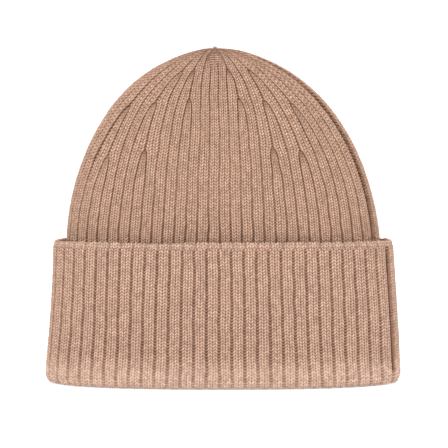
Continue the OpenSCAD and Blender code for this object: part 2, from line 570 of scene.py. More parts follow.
def new_mesh(
    name: str,
    points: np.ndarray,
    soft: list[np.ndarray],
    flat: list[np.ndarray],
    knit: np.ndarray | None = None,
) -> bpy.types.Object:
    """Makes an object from arrays.

    Args:
        name: The piece's name.
        points: Vertices.
        soft: Arrays of smooth faces, each with its own number of corners.
        flat: Arrays of flat faces.
        knit: The knit attribute of each vertex, if the piece has one.

    Returns:
        The new object, linked to the scene.
    """
    groups = [group.reshape(-1, group.shape[-1]) for group in (*soft, *flat)]
    corners = np.concatenate([group.reshape(-1) for group in groups]).astype(np.int32)
    sizes = np.concatenate([np.full(len(group), group.shape[1]) for group in groups])
    starts = np.concatenate([[0], np.cumsum(sizes)[:-1]]).astype(np.int32)
    shading = np.arange(len(sizes)) < sum(len(group) for group in groups[: len(soft)])
    mesh = bpy.data.meshes.new(name)
    mesh.vertices.add(points.size // 3)
    mesh.vertices.foreach_set("co", points.astype(np.float32).reshape(-1))
    mesh.loops.add(len(corners))
    mesh.loops.foreach_set("vertex_index", corners)
    mesh.polygons.add(len(sizes))
    mesh.polygons.foreach_set("loop_start", starts)
    mesh.polygons.foreach_set("use_smooth", shading)
    mesh.update(calc_edges=True)
    mesh.validate()
    if knit is not None:
        layer = mesh.attributes.new("knit", "FLOAT_VECTOR", "POINT")
        layer.data.foreach_set("vector", knit.astype(np.float32).reshape(-1))
    made = bpy.data.objects.new(name, mesh)
    bpy.context.scene.collection.objects.link(made)
    return made


def dress(
    piece: bpy.types.Object, material: bpy.types.Material, slot: str, body: str, *nodes: str
) -> None:
    """Gives a piece what it wears and stands for.

    Args:
        piece: The piece.
        material: Its material.
        slot: Its material slot.
        body: The body that it rides.
        nodes: The nodes that it stands for.
    """
    piece.data.materials.append(material)
    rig.ride(piece, body)
    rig.slot(piece, slot)
    if nodes:
        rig.replaces(piece, *nodes)
    LOG.info("%s: %d faces", piece.name, len(piece.data.polygons))


def shell(name: str, outer: Patch, inner: Patch) -> bpy.types.Object:
    """Makes a closed wall from an outer and an inner grid, of any two sizes.

    Args:
        name: The piece's name.
        outer: The outer grid.
        inner: The inner grid.

    Returns:
        The new object.
    """
    front = outer.numbers()
    back = inner.numbers(front.size)
    rims = [
        strip(back[0], front[0]),
        strip(front[-1], back[-1]),
        strip(front[:, 0], back[:, 0]),
        strip(back[:, -1], front[:, -1]),
    ]
    points = np.concatenate([outer.points.reshape(-1, 3), inner.points.reshape(-1, 3)])
    knit = np.concatenate([outer.knit.reshape(-1, 3), inner.knit.reshape(-1, 3)])
    return new_mesh(name, points, [cells(front), cells(back)[..., ::-1]], rims, knit)


def ring(name: str, patch: Patch, flat_row: bool = False) -> bpy.types.Object:
    """Makes a closed ring from a grid that runs round the hat and round its own section.

    Args:
        name: The piece's name.
        patch: The grid, without a repeated row or column.
        flat_row: Whether the faces from the last row back to the first are flat.

    Returns:
        The new object.
    """
    number = patch.numbers()
    faces = cells(np.concatenate([number, number[:1]]), closed=True)
    soft, flat = ([faces[:-1]], [faces[-1]]) if flat_row else ([faces], [])
    return new_mesh(name, patch.points, soft, flat, patch.knit)


def strands(
    name: str, paths: np.ndarray, radii: np.ndarray, sides: int, lay: Lay | None = None
) -> bpy.types.Object:
    """Makes round closed strands along many paths at once, each pinched shut at its ends.

    Args:
        name: The piece's name.
        paths: Points, by strand and by step.
        radii: Radii, by strand and by step.
        sides: Sides of each strand.
        lay: How the strands fill the knit attribute, if they do.

    Returns:
        The strands, as one piece.
    """
    count, steps = paths.shape[:2]
    ahead = unit(np.gradient(paths, axis=1))
    helper = np.where(np.abs(ahead[..., 2:3]) > 0.8, (1.0, 0.0, 0.0), (0.0, 0.0, 1.0))
    across = unit(np.cross(ahead, helper))
    third = np.cross(ahead, across)
    turn = turns(sides)[:, None]
    spoke = across[:, :, None] * np.cos(turn) + third[:, :, None] * np.sin(turn)
    rings = paths[:, :, None] + spoke * radii[:, :, None, None]
    tips = paths[:, [0, -1]] + ahead[:, [0, -1]] * radii[:, [0, -1], None] * [[-1.0], [1.0]]
    points = np.concatenate([rings.reshape(count, steps * sides, 3), tips], axis=1).reshape(-1, 3)
    number = np.arange(steps * sides).reshape(steps, sides)
    beside = np.roll(number, -1, axis=1)
    tip = np.full(sides, steps * sides)
    first = np.stack([beside[0], number[0], tip], axis=1)
    last = np.stack([number[-1], beside[-1], tip + 1], axis=1)
    shift = (np.arange(count) * (steps * sides + 2))[:, None, None]
    body = cells(number, closed=True).reshape(1, -1, 4) + shift
    ends = np.concatenate([first, last])[None] + shift
    knit = None
    if lay:
        depth = np.full(len(points), lay.depth)
        knit = np.stack([points[:, lay.axis] * lay.legs, points[:, 2] * lay.rows, depth], axis=-1)
    return new_mesh(name, points, [body, ends], [], knit)


# ---------------------------------------------------------------- the hat's form


@dataclass(frozen=True)
class HatForm:
    """The hat's smooth outside, in metres: an oval at each height, closed by a dome.

    An oval's points are (a cos^(2/p), b sin^(2/p)) of its angle, for half sizes a and b.
    """

    power: float = 2.4
    seam_reach: float = 0.955
    cuff_taper: float = 5 * MM
    body_half: tuple[float, float] = (96.5 * MM, 37 * MM)
    exit_rise: float = 3 * MM
    flare_power: float = 1.2
    layer_room: float = 3.8 * MM
    tip_lean: float = 5 * MM
    droop: float = 0.25
    side_weight: float = 0.72
    width_powers: tuple[float, float] = (2.2, 0.52)
    depth_powers: tuple[float, float] = (2.4, 0.5)
    narrowing: float = 0.1
    peak: float = 0.2
    samples: int = 4001
    cuff_half: tuple[float, float] = field(
        default_factory=lambda: tuple(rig.box("cuff_fold")[1])[:2]
    )
    fold_top: float = field(default_factory=lambda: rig.box("cuff_fold")[1].z)
    cuff_top: float = field(default_factory=lambda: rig.box("cuff_welt")[1].z)
    tip: float = field(default_factory=lambda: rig.box("crown")[1].z)

    @property
    def exit(self) -> float:
        """Height at which the body's sides turn into the dome."""
        return self.cuff_top + self.exit_rise

    def oval(self, angle: np.ndarray) -> tuple[np.ndarray, np.ndarray]:
        """The unit oval's two coordinates at an angle."""
        x, y = (np.sign(v) * np.abs(v) ** (2 / self.power) for v in (np.cos(angle), np.sin(angle)))
        return x, y

    def angle(self, share: np.ndarray) -> np.ndarray:
        """The oval's angle at a share of the way round from the seam.

        Equal shares are equal lengths of the body's oval, with its depth counted a little
        short, so the ribs keep their width across the front and widen at the sides.

        Args:
            share: Shares of the way round.

        Returns:
            Angles.
        """
        seam = -math.acos(self.seam_reach ** (self.power / 2))
        angles = seam + np.linspace(0, TURN, self.samples)
        x, y = self.oval(angles)
        width, depth = self.body_half
        steps = np.hypot(np.diff(x) * width, np.diff(y) * depth * self.side_weight)
        length = np.concatenate([[0], np.cumsum(steps)])
        return np.interp(share, length / length[-1], angles)

    def depth_at(self, rise: np.ndarray) -> np.ndarray:
        """How deep the dome is at a rise from 0 to 1: (1 - h^2.4)^0.5."""
        power, root = self.depth_powers
        return (1 - rise**power) ** root

    def body(self, share: np.ndarray, height: np.ndarray, inset: float = 0.0) -> np.ndarray:
        """Points of the body and crown.

        Inside the cuff the half sizes flare towards the fold. Above it they follow the rise h
        from 0 to 1: the width as (1 - h^2.2)^0.52 (1 - 0.1 h) (1 - peak h^12), the depth as
        (1 - h^2.4)^0.5, and the middle leans over as h^3. Towards the sides a row lies lower:
        h is raised to the power of 1 plus the droop times the square of the place across.

        Args:
            share: Shares of the way round.
            height: Heights, as they would be at the middle of the front.
            inset: How far inside the outer surface.

        Returns:
            An array of points.
        """
        x, y = self.oval(self.angle(share))
        span = self.tip - inset - self.exit
        rise = np.clip((height - self.exit) / span, 0, 1) ** (1 + self.droop * x**2)
        z = np.where(height > self.exit, self.exit + span * rise, height)
        hidden = np.clip((self.exit - height) / (self.exit - self.fold_top), 0, 1)
        flare = hidden**self.flare_power
        half = [
            body + (cuff - self.layer_room - body) * flare - inset
            for body, cuff in zip(self.body_half, self.cuff_half)
        ]
        power, root = self.width_powers
        width = (1 - rise**power) ** root * (1 - self.narrowing * rise) * (1 - self.peak * rise**12)
        across = x * half[0] * width - self.tip_lean * rise**3
        return np.stack([across, y * half[1] * self.depth_at(rise), z], axis=-1)

    def cuff(self, share: np.ndarray, height: np.ndarray, inset: float = 0.0) -> np.ndarray:
        """Points of the cuff, whose half sizes taper evenly above the fold.

        Args:
            share: Shares of the way round.
            height: Heights.
            inset: How far inside the outer surface.

        Returns:
            An array of points.
        """
        x, y = self.oval(self.angle(share))
        taper = np.clip((height - self.fold_top) / (self.cuff_top - self.fold_top), 0, 1)
        width, depth = (half - self.cuff_taper * taper - inset for half in self.cuff_half)
        return np.stack([x * width, y * depth, height + 0 * x], axis=-1)


class Wave:
    """Soft unevenness: a sum of a few waves round the hat and up its rows."""

    def __init__(self, seed: int, most_round: int, rows: float, count: int = 7) -> None:
        """Draws the waves.

        Args:
            seed: Seed of the draw.
            most_round: The most waves that go round the hat.
            rows: The shortest wave up the hat, in rows.
            count: How many waves are summed.
        """
        draw = np.random.default_rng(seed)
        self.round = draw.integers(1, most_round + 1, count)
        self.up = draw.uniform(0.3, 1.0, count) / rows
        self.start = draw.uniform(0, TURN, count)
        self.size = draw.uniform(0.5, 1.0, count) / math.sqrt(count)

    def at(self, share: np.ndarray, row: np.ndarray) -> np.ndarray:
        """The unevenness, about from -1 to 1, at places given by share and row."""
        waves = zip(self.round, self.up, self.start, self.size)
        return sum(size * np.sin(TURN * (a * share + b * row) + start) for a, b, start, size in waves)


# ---------------------------------------------------------------- knitting


@dataclass(frozen=True)
class Ramp:
    """A soft rise from 0 to 1 that starts at one row and takes some rows."""

    start: float
    rows: float

    def at(self, row: np.ndarray) -> np.ndarray:
        """How far it has risen at some rows."""
        return smooth((row - self.start) / self.rows)


@dataclass(frozen=True)
class Relief:
    """How the stitches of one stretch stand out, in metres and as shares of a rib.

    The furrows are wider and deeper at the stretch's low end, by the two extras, which fade
    out over some rows. The turned-up cuff shows its stitches upside down, which upright tells
    as 1 or -1.
    """

    furrow_share: float
    furrow_depth: float
    depth_extra: float
    extra_rows: float
    bar: float
    upright: int
    share_extra: float = 0.03
    crest: float = 0.3 * MM
    shoulder: float = 0.4 * MM
    leg: float = 0.7 * MM
    groove: float = 0.15 * MM
    # The painted light of a furrow's floor: below 1, painted shade in the furrows.
    painted_furrow_tone: float = 0.34


class Part(Enum):
    """The stretches of rib knitting, by how their stitches lie."""

    BODY = Relief(0.04, 0.25 * MM, depth_extra=0.5 * MM, extra_rows=6.0, bar=0.25 * MM, upright=1)
    CUFF = Relief(0.075, 0.65 * MM, depth_extra=0.35 * MM, extra_rows=14.0, bar=0.6 * MM, upright=-1)


@dataclass(frozen=True)
class Effect:
    """What happens to a furrow: the share of its depth lost, its sinking, and its painted lightening, less painted
    shade above 0 and more below it.
    """

    shallower: float = 0.0
    sink: float = 0.0
    painted_lightening: float = 0.0


class Mark(Enum):
    """Places where furrows differ: first those that lie flatter and are painted in less shade, then those that sink
    and are painted in more.
    """

    WEDGE = Effect(shallower=0.5, painted_lightening=0.9)
    STRETCHED = Effect(shallower=0.5, painted_lightening=0.8)
    SEAM = Effect(sink=0.35 * MM, painted_lightening=-0.5)
    DRAWN_IN = Effect(sink=0.6 * MM, painted_lightening=-0.7)
    PULLED = Effect(sink=0.3 * MM, painted_lightening=-0.35)


@dataclass(frozen=True)
class Columns:
    """The columns of vertices across some ribs.

    For each: its rib, its place across the knit part from 0 to 1, how deep in the furrow it
    lies from 0 to 1, which side of the knit part it is on (-1, 0 or 1), its leg, and its place
    within that leg from 0 to 1.
    """

    rib: np.ndarray
    across: np.ndarray
    furrow: np.ndarray
    side: np.ndarray
    leg: np.ndarray
    within: np.ndarray


@dataclass(frozen=True)
class Gauge:
    """How the hat is knitted, and how finely its stitches are drawn."""

    ribs: int = 62
    row: float = 1.8 * MM
    legs: int = 4
    leg_samples: int = 4
    row_samples: int = 4
    body_rib: float = 6.9 * MM
    cuff_rib: float = 8.2 * MM

    def flat(self, ribs: int, rib: float, rows: float) -> tuple[float, float]:
        """The flat size of some ribs and rows of relaxed knitting, in metres."""
        return ribs * rib, rows * self.row

    def rows(self, low: float, high: float, each: int) -> np.ndarray:
        """Evenly spaced rows from low to high, each of them in so many steps."""
        return np.linspace(low, high, max(2, round((high - low) * each) + 1))

    def columns(self, ribs: range) -> Columns:
        """The columns across some ribs, from the first furrow's bottom to the last one's.

        Args:
            ribs: The ribs' numbers.

        Returns:
            The columns.
        """
        count = self.legs * self.leg_samples
        knit, level = np.arange(count + 1), np.zeros(count + 1)
        across = np.concatenate([[0, 0, 0], knit / count, [1, 1]])
        furrow = np.concatenate([[1, 0.7, 0.35], level, [0.35, 0.7]])
        side = np.concatenate([[-1, -1, -1], level, [1, 1]]).astype(int)
        leg = np.minimum((across * self.legs).astype(int), self.legs - 1)
        part_leg = (knit % self.leg_samples) / self.leg_samples
        within = np.where(across == 1, 1.0, np.concatenate([[0, 0, 0], part_leg, [0, 0]]))
        rib = np.append(np.repeat(np.arange(ribs.start, ribs.stop), len(across)), ribs.stop)
        tiled = [np.append(np.tile(v, len(ribs)), v[0]) for v in (across, furrow, side, leg, within)]
        return Columns(rib, *tiled)


def painted_stitch_light(within: np.ndarray, phase: np.ndarray) -> np.ndarray:
    """The painted light of a place on a stitch's leg, from 0, painted shade in the gaps, to 1, painted highlight on
    the crest.

    Across and along the leg it rises and falls as 0.5 - 0.5 cos(2 pi t), and the painted shade of
    the gap along the leg's side is only half as dark as that of the gap at its ends.

    Args:
        within: The place across the leg, from 0 to 1.
        phase: The place along the wale, in rows.

    Returns:
        The painted light.
    """
    across = 0.5 - 0.5 * cosine(within)
    along = 0.5 - 0.5 * cosine(phase)
    return 0.03 + 0.97 * along * (0.4 + 0.6 * across) + 0.12 * across


@dataclass
class Knitting:
    """The ribs and stitches of the whole hat.

    Some ribs of the crown end at a row, on the front and, mirrored, on the back. The front's
    are listed by that row, numbered from the hat's right side. The ramps of the wedges, of
    the rim's end, of the gathering and of the tip are counted down from the tip.
    """

    form: HatForm
    gauge: Gauge
    front_ends: tuple[tuple[float, tuple[int, ...]], ...] = (
        (31.0, (3, 7, 20, 23)),
        (47.5, (2, 6, 11, 17, 21, 25)),
        (58.5, (8, 10, 16, 22)),
    )
    fade_rows: float = 16.0
    close_rows: float = 5.0
    relax_rows: float = 12.0
    narrowed: float = 0.7
    least_rib: float = 0.004
    full_rib: float = 5.5 * MM
    seam_half: float = 1.9 * MM
    seam_spread: float = 0.4 * MM
    most_seam: float = 0.02
    rim_half: float = 0.5 * MM
    pull_rows: float = 4.0
    pull_reach: float = 6.0
    stretch_ribs: float = 6.0
    level: float = -0.7 * MM
    wedge: float = 1.9 * MM
    wedge_opens: Ramp = Ramp(4.5, 3)
    wedge_closes: Ramp = Ramp(7.5, 6.5)
    rim_starts: Ramp = Ramp(20, 14)
    rim_ends: Ramp = Ramp(3, 6)
    stretch_starts: Ramp = Ramp(3, 14)
    stretch_ends: Ramp = Ramp(38, 12)
    seam_widens: Ramp = Ramp(35, 20)
    gather_ends: Ramp = Ramp(2, 7)
    body_settles: Ramp = Ramp(-8, 12)
    tip_settles: Ramp = Ramp(0, 15)
    cuff_settles: Ramp = Ramp(1, 12)
    slant: float = 0.8
    wander: float = 0.3
    sway_size: float = 0.4 * MM
    billow_size: float = 0.7 * MM
    arch_rows: float = 1.3
    welt_height: float = 3.6 * MM
    uneven_rows: int = 256
    lowest_row: int = 64

    def __post_init__(self) -> None:
        """Places the rows, the ribs and the unevenness."""
        form, gauge = self.form, self.gauge
        rise = np.sin(np.linspace(0, math.pi / 2, 800))
        self.heights = form.exit + (form.tip - form.exit) * rise
        depth = form.body_half[1] * form.depth_at(rise)
        steps = np.hypot(np.diff(self.heights), np.diff(depth))
        self.rows = np.concatenate([[0], np.cumsum(steps)]) / gauge.row
        self.last_row = float(self.rows[-1])
        turn = form.angle(np.arange(gauge.ribs + 1) / gauge.ribs)
        self.left_rib = int(np.argmin(np.abs(turn - math.pi)))
        self.middle_rib = self.left_rib + (gauge.ribs - self.left_rib) // 2
        self.rim_rib = self.left_rib + 2
        self.cuff_rows = (form.cuff_top - self.welt_height - form.fold_top) / gauge.row
        self.sway = Wave(11, 9, 30.0)
        self.wobble = Wave(17, 40, 9.0, 12)
        self.billow = Wave(23, 5, 60.0)
        draw = np.random.default_rng(5)
        self.stitch_height = draw.uniform(0.8, 1.15, (gauge.ribs * gauge.legs + 1, self.uneven_rows))
        self.ends = {
            rib: row
            for row, numbers in self.front_ends
            for number in numbers
            for rib in (self.left_rib + number, self.left_rib - 1 - number)
        }

    def next_alive(self, rib: int, side: int) -> int:
        """The nearest rib that outlasts a decreased rib.

        Args:
            rib: The decreased rib.
            side: -1 or 1, the side to look on.

        Returns:
            Its number.
        """
        near = rib + side
        while self.ends.get(near, math.inf) <= self.ends[rib]:
            near += side
        return near

    # ------------------------------------------------ the smooth surface, by share and row

    def height_of(self, row: np.ndarray) -> np.ndarray:
        """Heights of the body's rows, which run on evenly below the dome."""
        below = self.form.exit + row * self.gauge.row
        return np.where(row > 0, np.interp(row, self.rows, self.heights), below)

    def base(self, part: Part, share: np.ndarray, row: np.ndarray, inset: float = 0.0) -> np.ndarray:
        """Points of the smooth surface under the stitches."""
        if part is Part.BODY:
            return self.form.body(share, self.height_of(row), inset)
        return self.form.cuff(share, self.form.fold_top + row * self.gauge.row, inset)

    def girth(self, part: Part, row: np.ndarray) -> np.ndarray:
        """Lengths of the way round at some rows, as the sum of 96 chords."""
        share = np.linspace(0, 1, 97)[None, :]
        round_hat = self.base(part, share, row[:, None] + 0 * share)
        return np.linalg.norm(np.diff(round_hat, axis=1), axis=2).sum(axis=1)

    def outward(self, part: Part, share: np.ndarray, rows: np.ndarray, inset: float = 0.0) -> np.ndarray:
        """Outward directions, from small steps along and up the smooth surface.

        Args:
            part: The stretch of knitting.
            share: Shares.
            rows: Rows, one for each share.
            inset: How far inside the surface.

        Returns:
            Unit vectors.
        """
        step, climb = 0.002, 0.05
        along = self.base(part, share + step, rows, inset) - self.base(part, share - step, rows, inset)
        up = self.base(part, share, rows + climb, inset) - self.base(part, share, rows - climb, inset)
        return unit(np.cross(along, up))

    def level_out(self, share: np.ndarray, rows: np.ndarray) -> np.ndarray:
        """The cuff's outward directions in plan."""
        return unit(self.outward(Part.CUFF, share, rows) * (1.0, 1.0, 0.0))

    def raised(self, part: Part, share: np.ndarray, row: np.ndarray, height: np.ndarray) -> np.ndarray:
        """Moves points of the smooth surface outwards, with the cloth's soft waves.

        Args:
            part: The stretch of knitting.
            share: Shares, one line for each row.
            row: Rows.
            height: How far each point moves.

        Returns:
            The points.
        """
        rows = row[:, None] + 0 * share
        if part is Part.BODY:
            settled = self.body_settles.at(rows) * self.tip_settles.at(self.last_row - rows)
            soft = self.billow_size * self.billow.at(share, rows) * settled
        else:
            settled = self.cuff_settles.at(rows)
            soft = self.billow_size * self.billow.at(share + 0.5, rows) * settled
        out = self.outward(part, share, rows)
        return self.base(part, share, rows) + out * (height + soft)[..., None]

    # ------------------------------------------------ furrows

    def furrow_share(self, part: Part, row: np.ndarray) -> np.ndarray:
        """The share of a rib that each half furrow takes, which ends in a round arch at the welt.

        Args:
            part: The stretch of knitting.
            row: Rows.

        Returns:
            Shares of a rib.
        """
        relief = part.value
        share = relief.furrow_share + relief.share_extra * np.exp(-row.clip(0) / relief.extra_rows)
        if part is Part.CUFF:
            reach = (row - (self.cuff_rows - self.arch_rows)) / self.arch_rows
            share = share * np.sqrt((1 - reach.clip(0, 1) ** 2).clip(0.02))
        return share

    def furrow_depth(self, part: Part, row: np.ndarray) -> np.ndarray:
        """The depth of the furrows, which is small round the cuff's fold and under its welt.

        Args:
            part: The stretch of knitting.
            row: Rows.

        Returns:
            Depths.
        """
        relief = part.value
        depth = relief.furrow_depth + relief.depth_extra * np.exp(-row.clip(0) / relief.extra_rows)
        if part is Part.CUFF:
            reach = Ramp(self.cuff_rows - self.arch_rows, self.arch_rows).at(row)
            depth = depth * (1 - 0.8 * smooth(-row / 3)) * (1 - 0.8 * reach)
        return depth

    def wedge_open(self, row: np.ndarray) -> np.ndarray:
        """How far the purl wedges beside the middle rib are open at some rows, from 0 to 1."""
        down = self.last_row - row
        return self.wedge_opens.at(down) * (1 - self.wedge_closes.at(down))

    def rim_drawn(self, row: np.ndarray) -> np.ndarray:
        """How far the furrow along the flattened edge of the crown is drawn in, from 0 to 1."""
        return self.rim_starts.at(row) * self.rim_ends.at(self.last_row - row)

    def pull(self, row: np.ndarray) -> np.ndarray:
        """How far each rib's furrows are pulled in where it ends: exp(-((row - end + 4) / 6)^2).

        Args:
            row: Rows.

        Returns:
            One line for each row, with two spare columns at its end.
        """
        made = np.zeros((len(row), self.gauge.ribs + 2))
        for rib, end in self.ends.items():
            made[:, rib] = bell((row - end + self.pull_rows) / self.pull_reach)
        return made

    def stretched(self, rib: np.ndarray, row: np.ndarray) -> np.ndarray:
        """How flat the ribs are drawn at the body's middle, front and back, from 0 to 1.

        It falls off round the hat as exp(-(ribs from the middle / 6)^2), and towards the cuff
        and the crown's decreases.

        Args:
            rib: Rib numbers.
            row: Rows.

        Returns:
            One line for each row.
        """
        middles = (self.middle_rib, self.left_rib // 2)
        flat = sum(bell((rib - middle) / self.stretch_ribs) for middle in middles)
        return (self.stretch_starts.at(row) * (1 - self.stretch_ends.at(row)))[:, None] * flat

    def marks(self, part: Part, at: Columns, row: np.ndarray) -> dict[Mark, np.ndarray]:
        """How far each mark holds at some places, from 0 to about 1.

        Args:
            part: The stretch of knitting.
            at: The columns.
            row: Rows.

        Returns:
            For each mark, one line for each row.
        """
        rib, side = at.rib, at.side
        last = self.gauge.ribs - 1
        seam = ((rib == 0) & (side < 0)) | ((rib == last) & (side > 0)) | (rib > last)
        made = {mark: np.zeros((len(row), len(rib))) for mark in Mark}
        made[Mark.SEAM] += seam
        if part is Part.BODY:
            rim = ((rib == self.rim_rib) & (side < 0)) | ((rib == self.rim_rib - 1) & (side > 0))
            pull = self.pull(row)
            made[Mark.DRAWN_IN] += rim * self.rim_drawn(row)[:, None]
            made[Mark.PULLED] += pull[:, rib] + np.where(side != 0, pull[:, rib + side], 0)
            made[Mark.WEDGE] += (np.abs(rib - self.middle_rib) <= 1) * self.wedge_open(row)[:, None]
            made[Mark.STRETCHED] += self.stretched(rib, row)
        return made

    # ------------------------------------------------ ribs

    def seam_share(self, part: Part, row: np.ndarray) -> np.ndarray:
        """The share of the way round that each half of the seam takes, wider up the crown."""
        spread = self.seam_widens.at(row) if part is Part.BODY else 0 * row
        half = self.seam_half + self.seam_spread * spread
        return np.minimum(half / self.girth(part, row), self.most_seam)

    def widths(self, part: Part, row: np.ndarray) -> np.ndarray:
        """Relative widths of the ribs at each row.

        A decreased rib narrows over some rows before its end, and closes at it along a quarter
        circle. Its width goes to its neighbours, and fades there. At the tip every other rib
        that is left narrows.

        Args:
            part: The stretch of knitting.
            row: Rows.

        Returns:
            One line for each row.
        """
        width = np.ones((len(row), self.gauge.ribs))
        if part is Part.CUFF:
            return width
        taken = np.zeros_like(width)
        for rib, end in self.ends.items():
            narrow = Ramp(end - self.fade_rows, self.fade_rows).at(row)
            closing = ((row - (end - self.close_rows)) / self.close_rows).clip(0, 1)
            close = 1 - np.sqrt(1 - closing**2)
            width[:, rib] = (1 - (1 - self.narrowed) * narrow) * (1 - close) + self.least_rib
            lent = 0.5 * self.narrowed * close * np.exp(-(row - end).clip(0) / self.relax_rows)
            for side in (-1, 1):
                taken[:, self.next_alive(rib, side)] += lent
        width += taken * np.minimum(width, 1)
        gather = 1 - self.gather_ends.at(self.last_row - row)
        alive = [rib for rib in range(self.gauge.ribs) if rib not in self.ends]
        width[:, alive[1::2]] *= 1 - 0.7 * gather[:, None]
        return width

    def rib_spans(self, part: Part, row: np.ndarray) -> tuple[np.ndarray, np.ndarray, np.ndarray]:
        """Where the ribs lie round the hat at each row.

        The seam takes its own width at share 0, half of it at each end. Beside the middle rib
        and along the crown's edge the furrows open further.

        Args:
            part: The stretch of knitting.
            row: Rows.

        Returns:
            For each row, the shares of the ribs' edges, and the width of each rib's furrow on
            its left and on its right, as shares.
        """
        width = self.widths(part, row)
        girth = self.girth(part, row)
        seam = self.seam_share(part, row)[:, None]
        inner = np.cumsum(width, axis=1) / width.sum(axis=1, keepdims=True)
        edge = np.concatenate([np.zeros_like(seam), seam + (1 - 2 * seam) * inner], axis=1)
        edge[:, -1] = 1
        left = self.furrow_share(part, row)[:, None] * np.diff(edge, axis=1)
        right = left.copy()
        left[:, 0] = right[:, -1] = seam[:, 0]
        if part is Part.BODY:
            wedge = self.wedge * self.wedge_open(row) / girth
            rim = self.rim_half * self.rim_drawn(row) / girth
            middle = self.middle_rib
            for furrow, extra in ((middle, wedge), (middle + 1, wedge), (self.rim_rib, rim)):
                right[:, furrow - 1] += extra
                left[:, furrow] += extra
        up = row[:, None]
        sway = self.sway.at(edge, up) + 0.5 * self.wobble.at(edge, up)
        sway *= self.sway_size / girth[:, None]
        sway[:, [0, -1]] = 0
        return edge + sway, left, right

    def spans(self, part: Part, rib: np.ndarray, row: np.ndarray) -> tuple[np.ndarray, ...]:
        """Where the rib of each column lies.

        Args:
            part: The stretch of knitting.
            rib: The rib of each column.
            row: Rows.

        Returns:
            Its left edge, its span, its two furrows and how full it is, from 0 to 1.
        """
        edge, left, right = self.rib_spans(part, row)
        held = np.minimum(rib, self.gauge.ribs - 1)
        span = edge[:, held + 1] - edge[:, held]
        wide = (span * self.girth(part, row)[:, None] / self.full_rib).clip(0, 1)
        return edge[:, rib], span, left[:, held], right[:, held], wide

    def phase(
        self, share: np.ndarray, row: np.ndarray, leg: np.ndarray, within: np.ndarray, upright: int = 1
    ) -> tuple[np.ndarray, np.ndarray]:
        """Where along its wale each place lies: its legs slant, and its rows wander a little.

        Args:
            share: Shares, one line for each row.
            row: Rows, as a column.
            leg: The leg of each column.
            within: Its place within the leg, from 0 to 1.
            upright: 1, or -1 where the stitches are upside down.

        Returns:
            The places in rows, and the same without the slant.
        """
        straight = row + self.wander * self.sway.at(share, row * 1.7)
        turn = np.where(leg % 2 == 0, 1, -1) * upright
        return straight + turn * self.slant * (within - 0.5), straight

    def places(
        self, part: Part, ribs: range, row: np.ndarray, strength: np.ndarray
    ) -> tuple[np.ndarray, np.ndarray, np.ndarray]:
        """Where the points of some ribs lie, and how far they stand out.

        A stitch's leg is round across, A = arch(q), and round along, G = arch(fraction of its
        row), and a rib is a pillow of height (1 - |2a - 1|^4)^0.5. Everything stands on the
        furrow's bottom and shrinks with a rib that is narrower than a full one.

        Args:
            part: The stretch of knitting.
            ribs: The ribs' numbers.
            row: Rows, rising.
            strength: How far the relief stands out at each row, from 0 to 1.

        Returns:
            Shares, heights and the knit attribute, whose depth is painted shade, one line for each row.
        """
        relief = part.value
        at = self.gauge.columns(ribs)
        up, strength = row[:, None], strength[:, None]
        edge, span, low, high, full = self.spans(part, at.rib, row)
        past = np.where(at.side > 0, span - (1 - at.furrow) * high, low + at.across * (span - low - high))
        share = edge + np.where(at.side < 0, (1 - at.furrow) * low, past)
        wide = full**0.8

        phase, straight = self.phase(share, up, at.leg, at.within, relief.upright)
        lowest = np.floor(phase)
        stitch = at.rib * self.gauge.legs + at.leg
        size = self.stitch_height[stitch, (lowest.astype(int) + self.lowest_row) % self.uneven_rows]
        across, along = arch(at.within), arch(phase - lowest)
        loft = relief.leg * size * (0.15 * across + along * (0.3 + 0.55 * across))
        bow = np.abs(2 * at.across - 1)
        pillow = np.sqrt(1 - bow**4)
        groove = bell(bow / 0.1)
        rung = 0.5 + 0.5 * cosine(straight)
        top = relief.shoulder * pillow + relief.crest * (1 - bow**2) - relief.groove * groove + loft
        bottom = relief.bar * rung * (1 - 0.6 * at.furrow)

        # Painted light and shade: painted highlight on each leg's crest, painted shade in the gaps between legs and
        # rows, in the groove down the rib's middle and towards the rib's sides.
        light = painted_stitch_light(at.within, phase) * (1 - 0.42 * groove) * (0.7 + 0.3 * pillow)
        # The furrows are painted in shade, lighter on the bars that cross them; the marks paint them lighter or
        # darker.
        furrow_painted_light = relief.painted_furrow_tone * (1 - 0.3 * at.furrow) * (0.1 + 2.3 * rung**2)
        depth = self.furrow_depth(part, row)[:, None]
        for mark, where in self.marks(part, at, row).items():
            effect = mark.value
            depth = depth * (1 - effect.shallower * where) + effect.sink * where
            furrow_painted_light = furrow_painted_light * (1 + effect.painted_lightening * where.clip(0, 1))
        stand = np.where(at.furrow > 0, bottom, top)
        height = self.level - depth + (depth * (1 - at.furrow) ** 2 + stand) * wide
        height = height * strength + self.level * (1 - strength)
        # Narrow ribs are painted in more shade.
        light = np.where(at.furrow > 0, furrow_painted_light, light) * (0.3 + 0.7 * wide)
        legs = np.broadcast_to(stitch + 0.98 * at.within, phase.shape)
        return share, height, np.stack([legs, phase, 1 - light], axis=-1)

    def outside(self, part: Part, ribs: range, row: np.ndarray, strength: np.ndarray) -> Patch:
        """The stitched outer surface of some ribs, one line of points for each row."""
        share, height, knit = self.places(part, ribs, row, strength)
        return Patch(self.raised(part, share, row, height), knit)

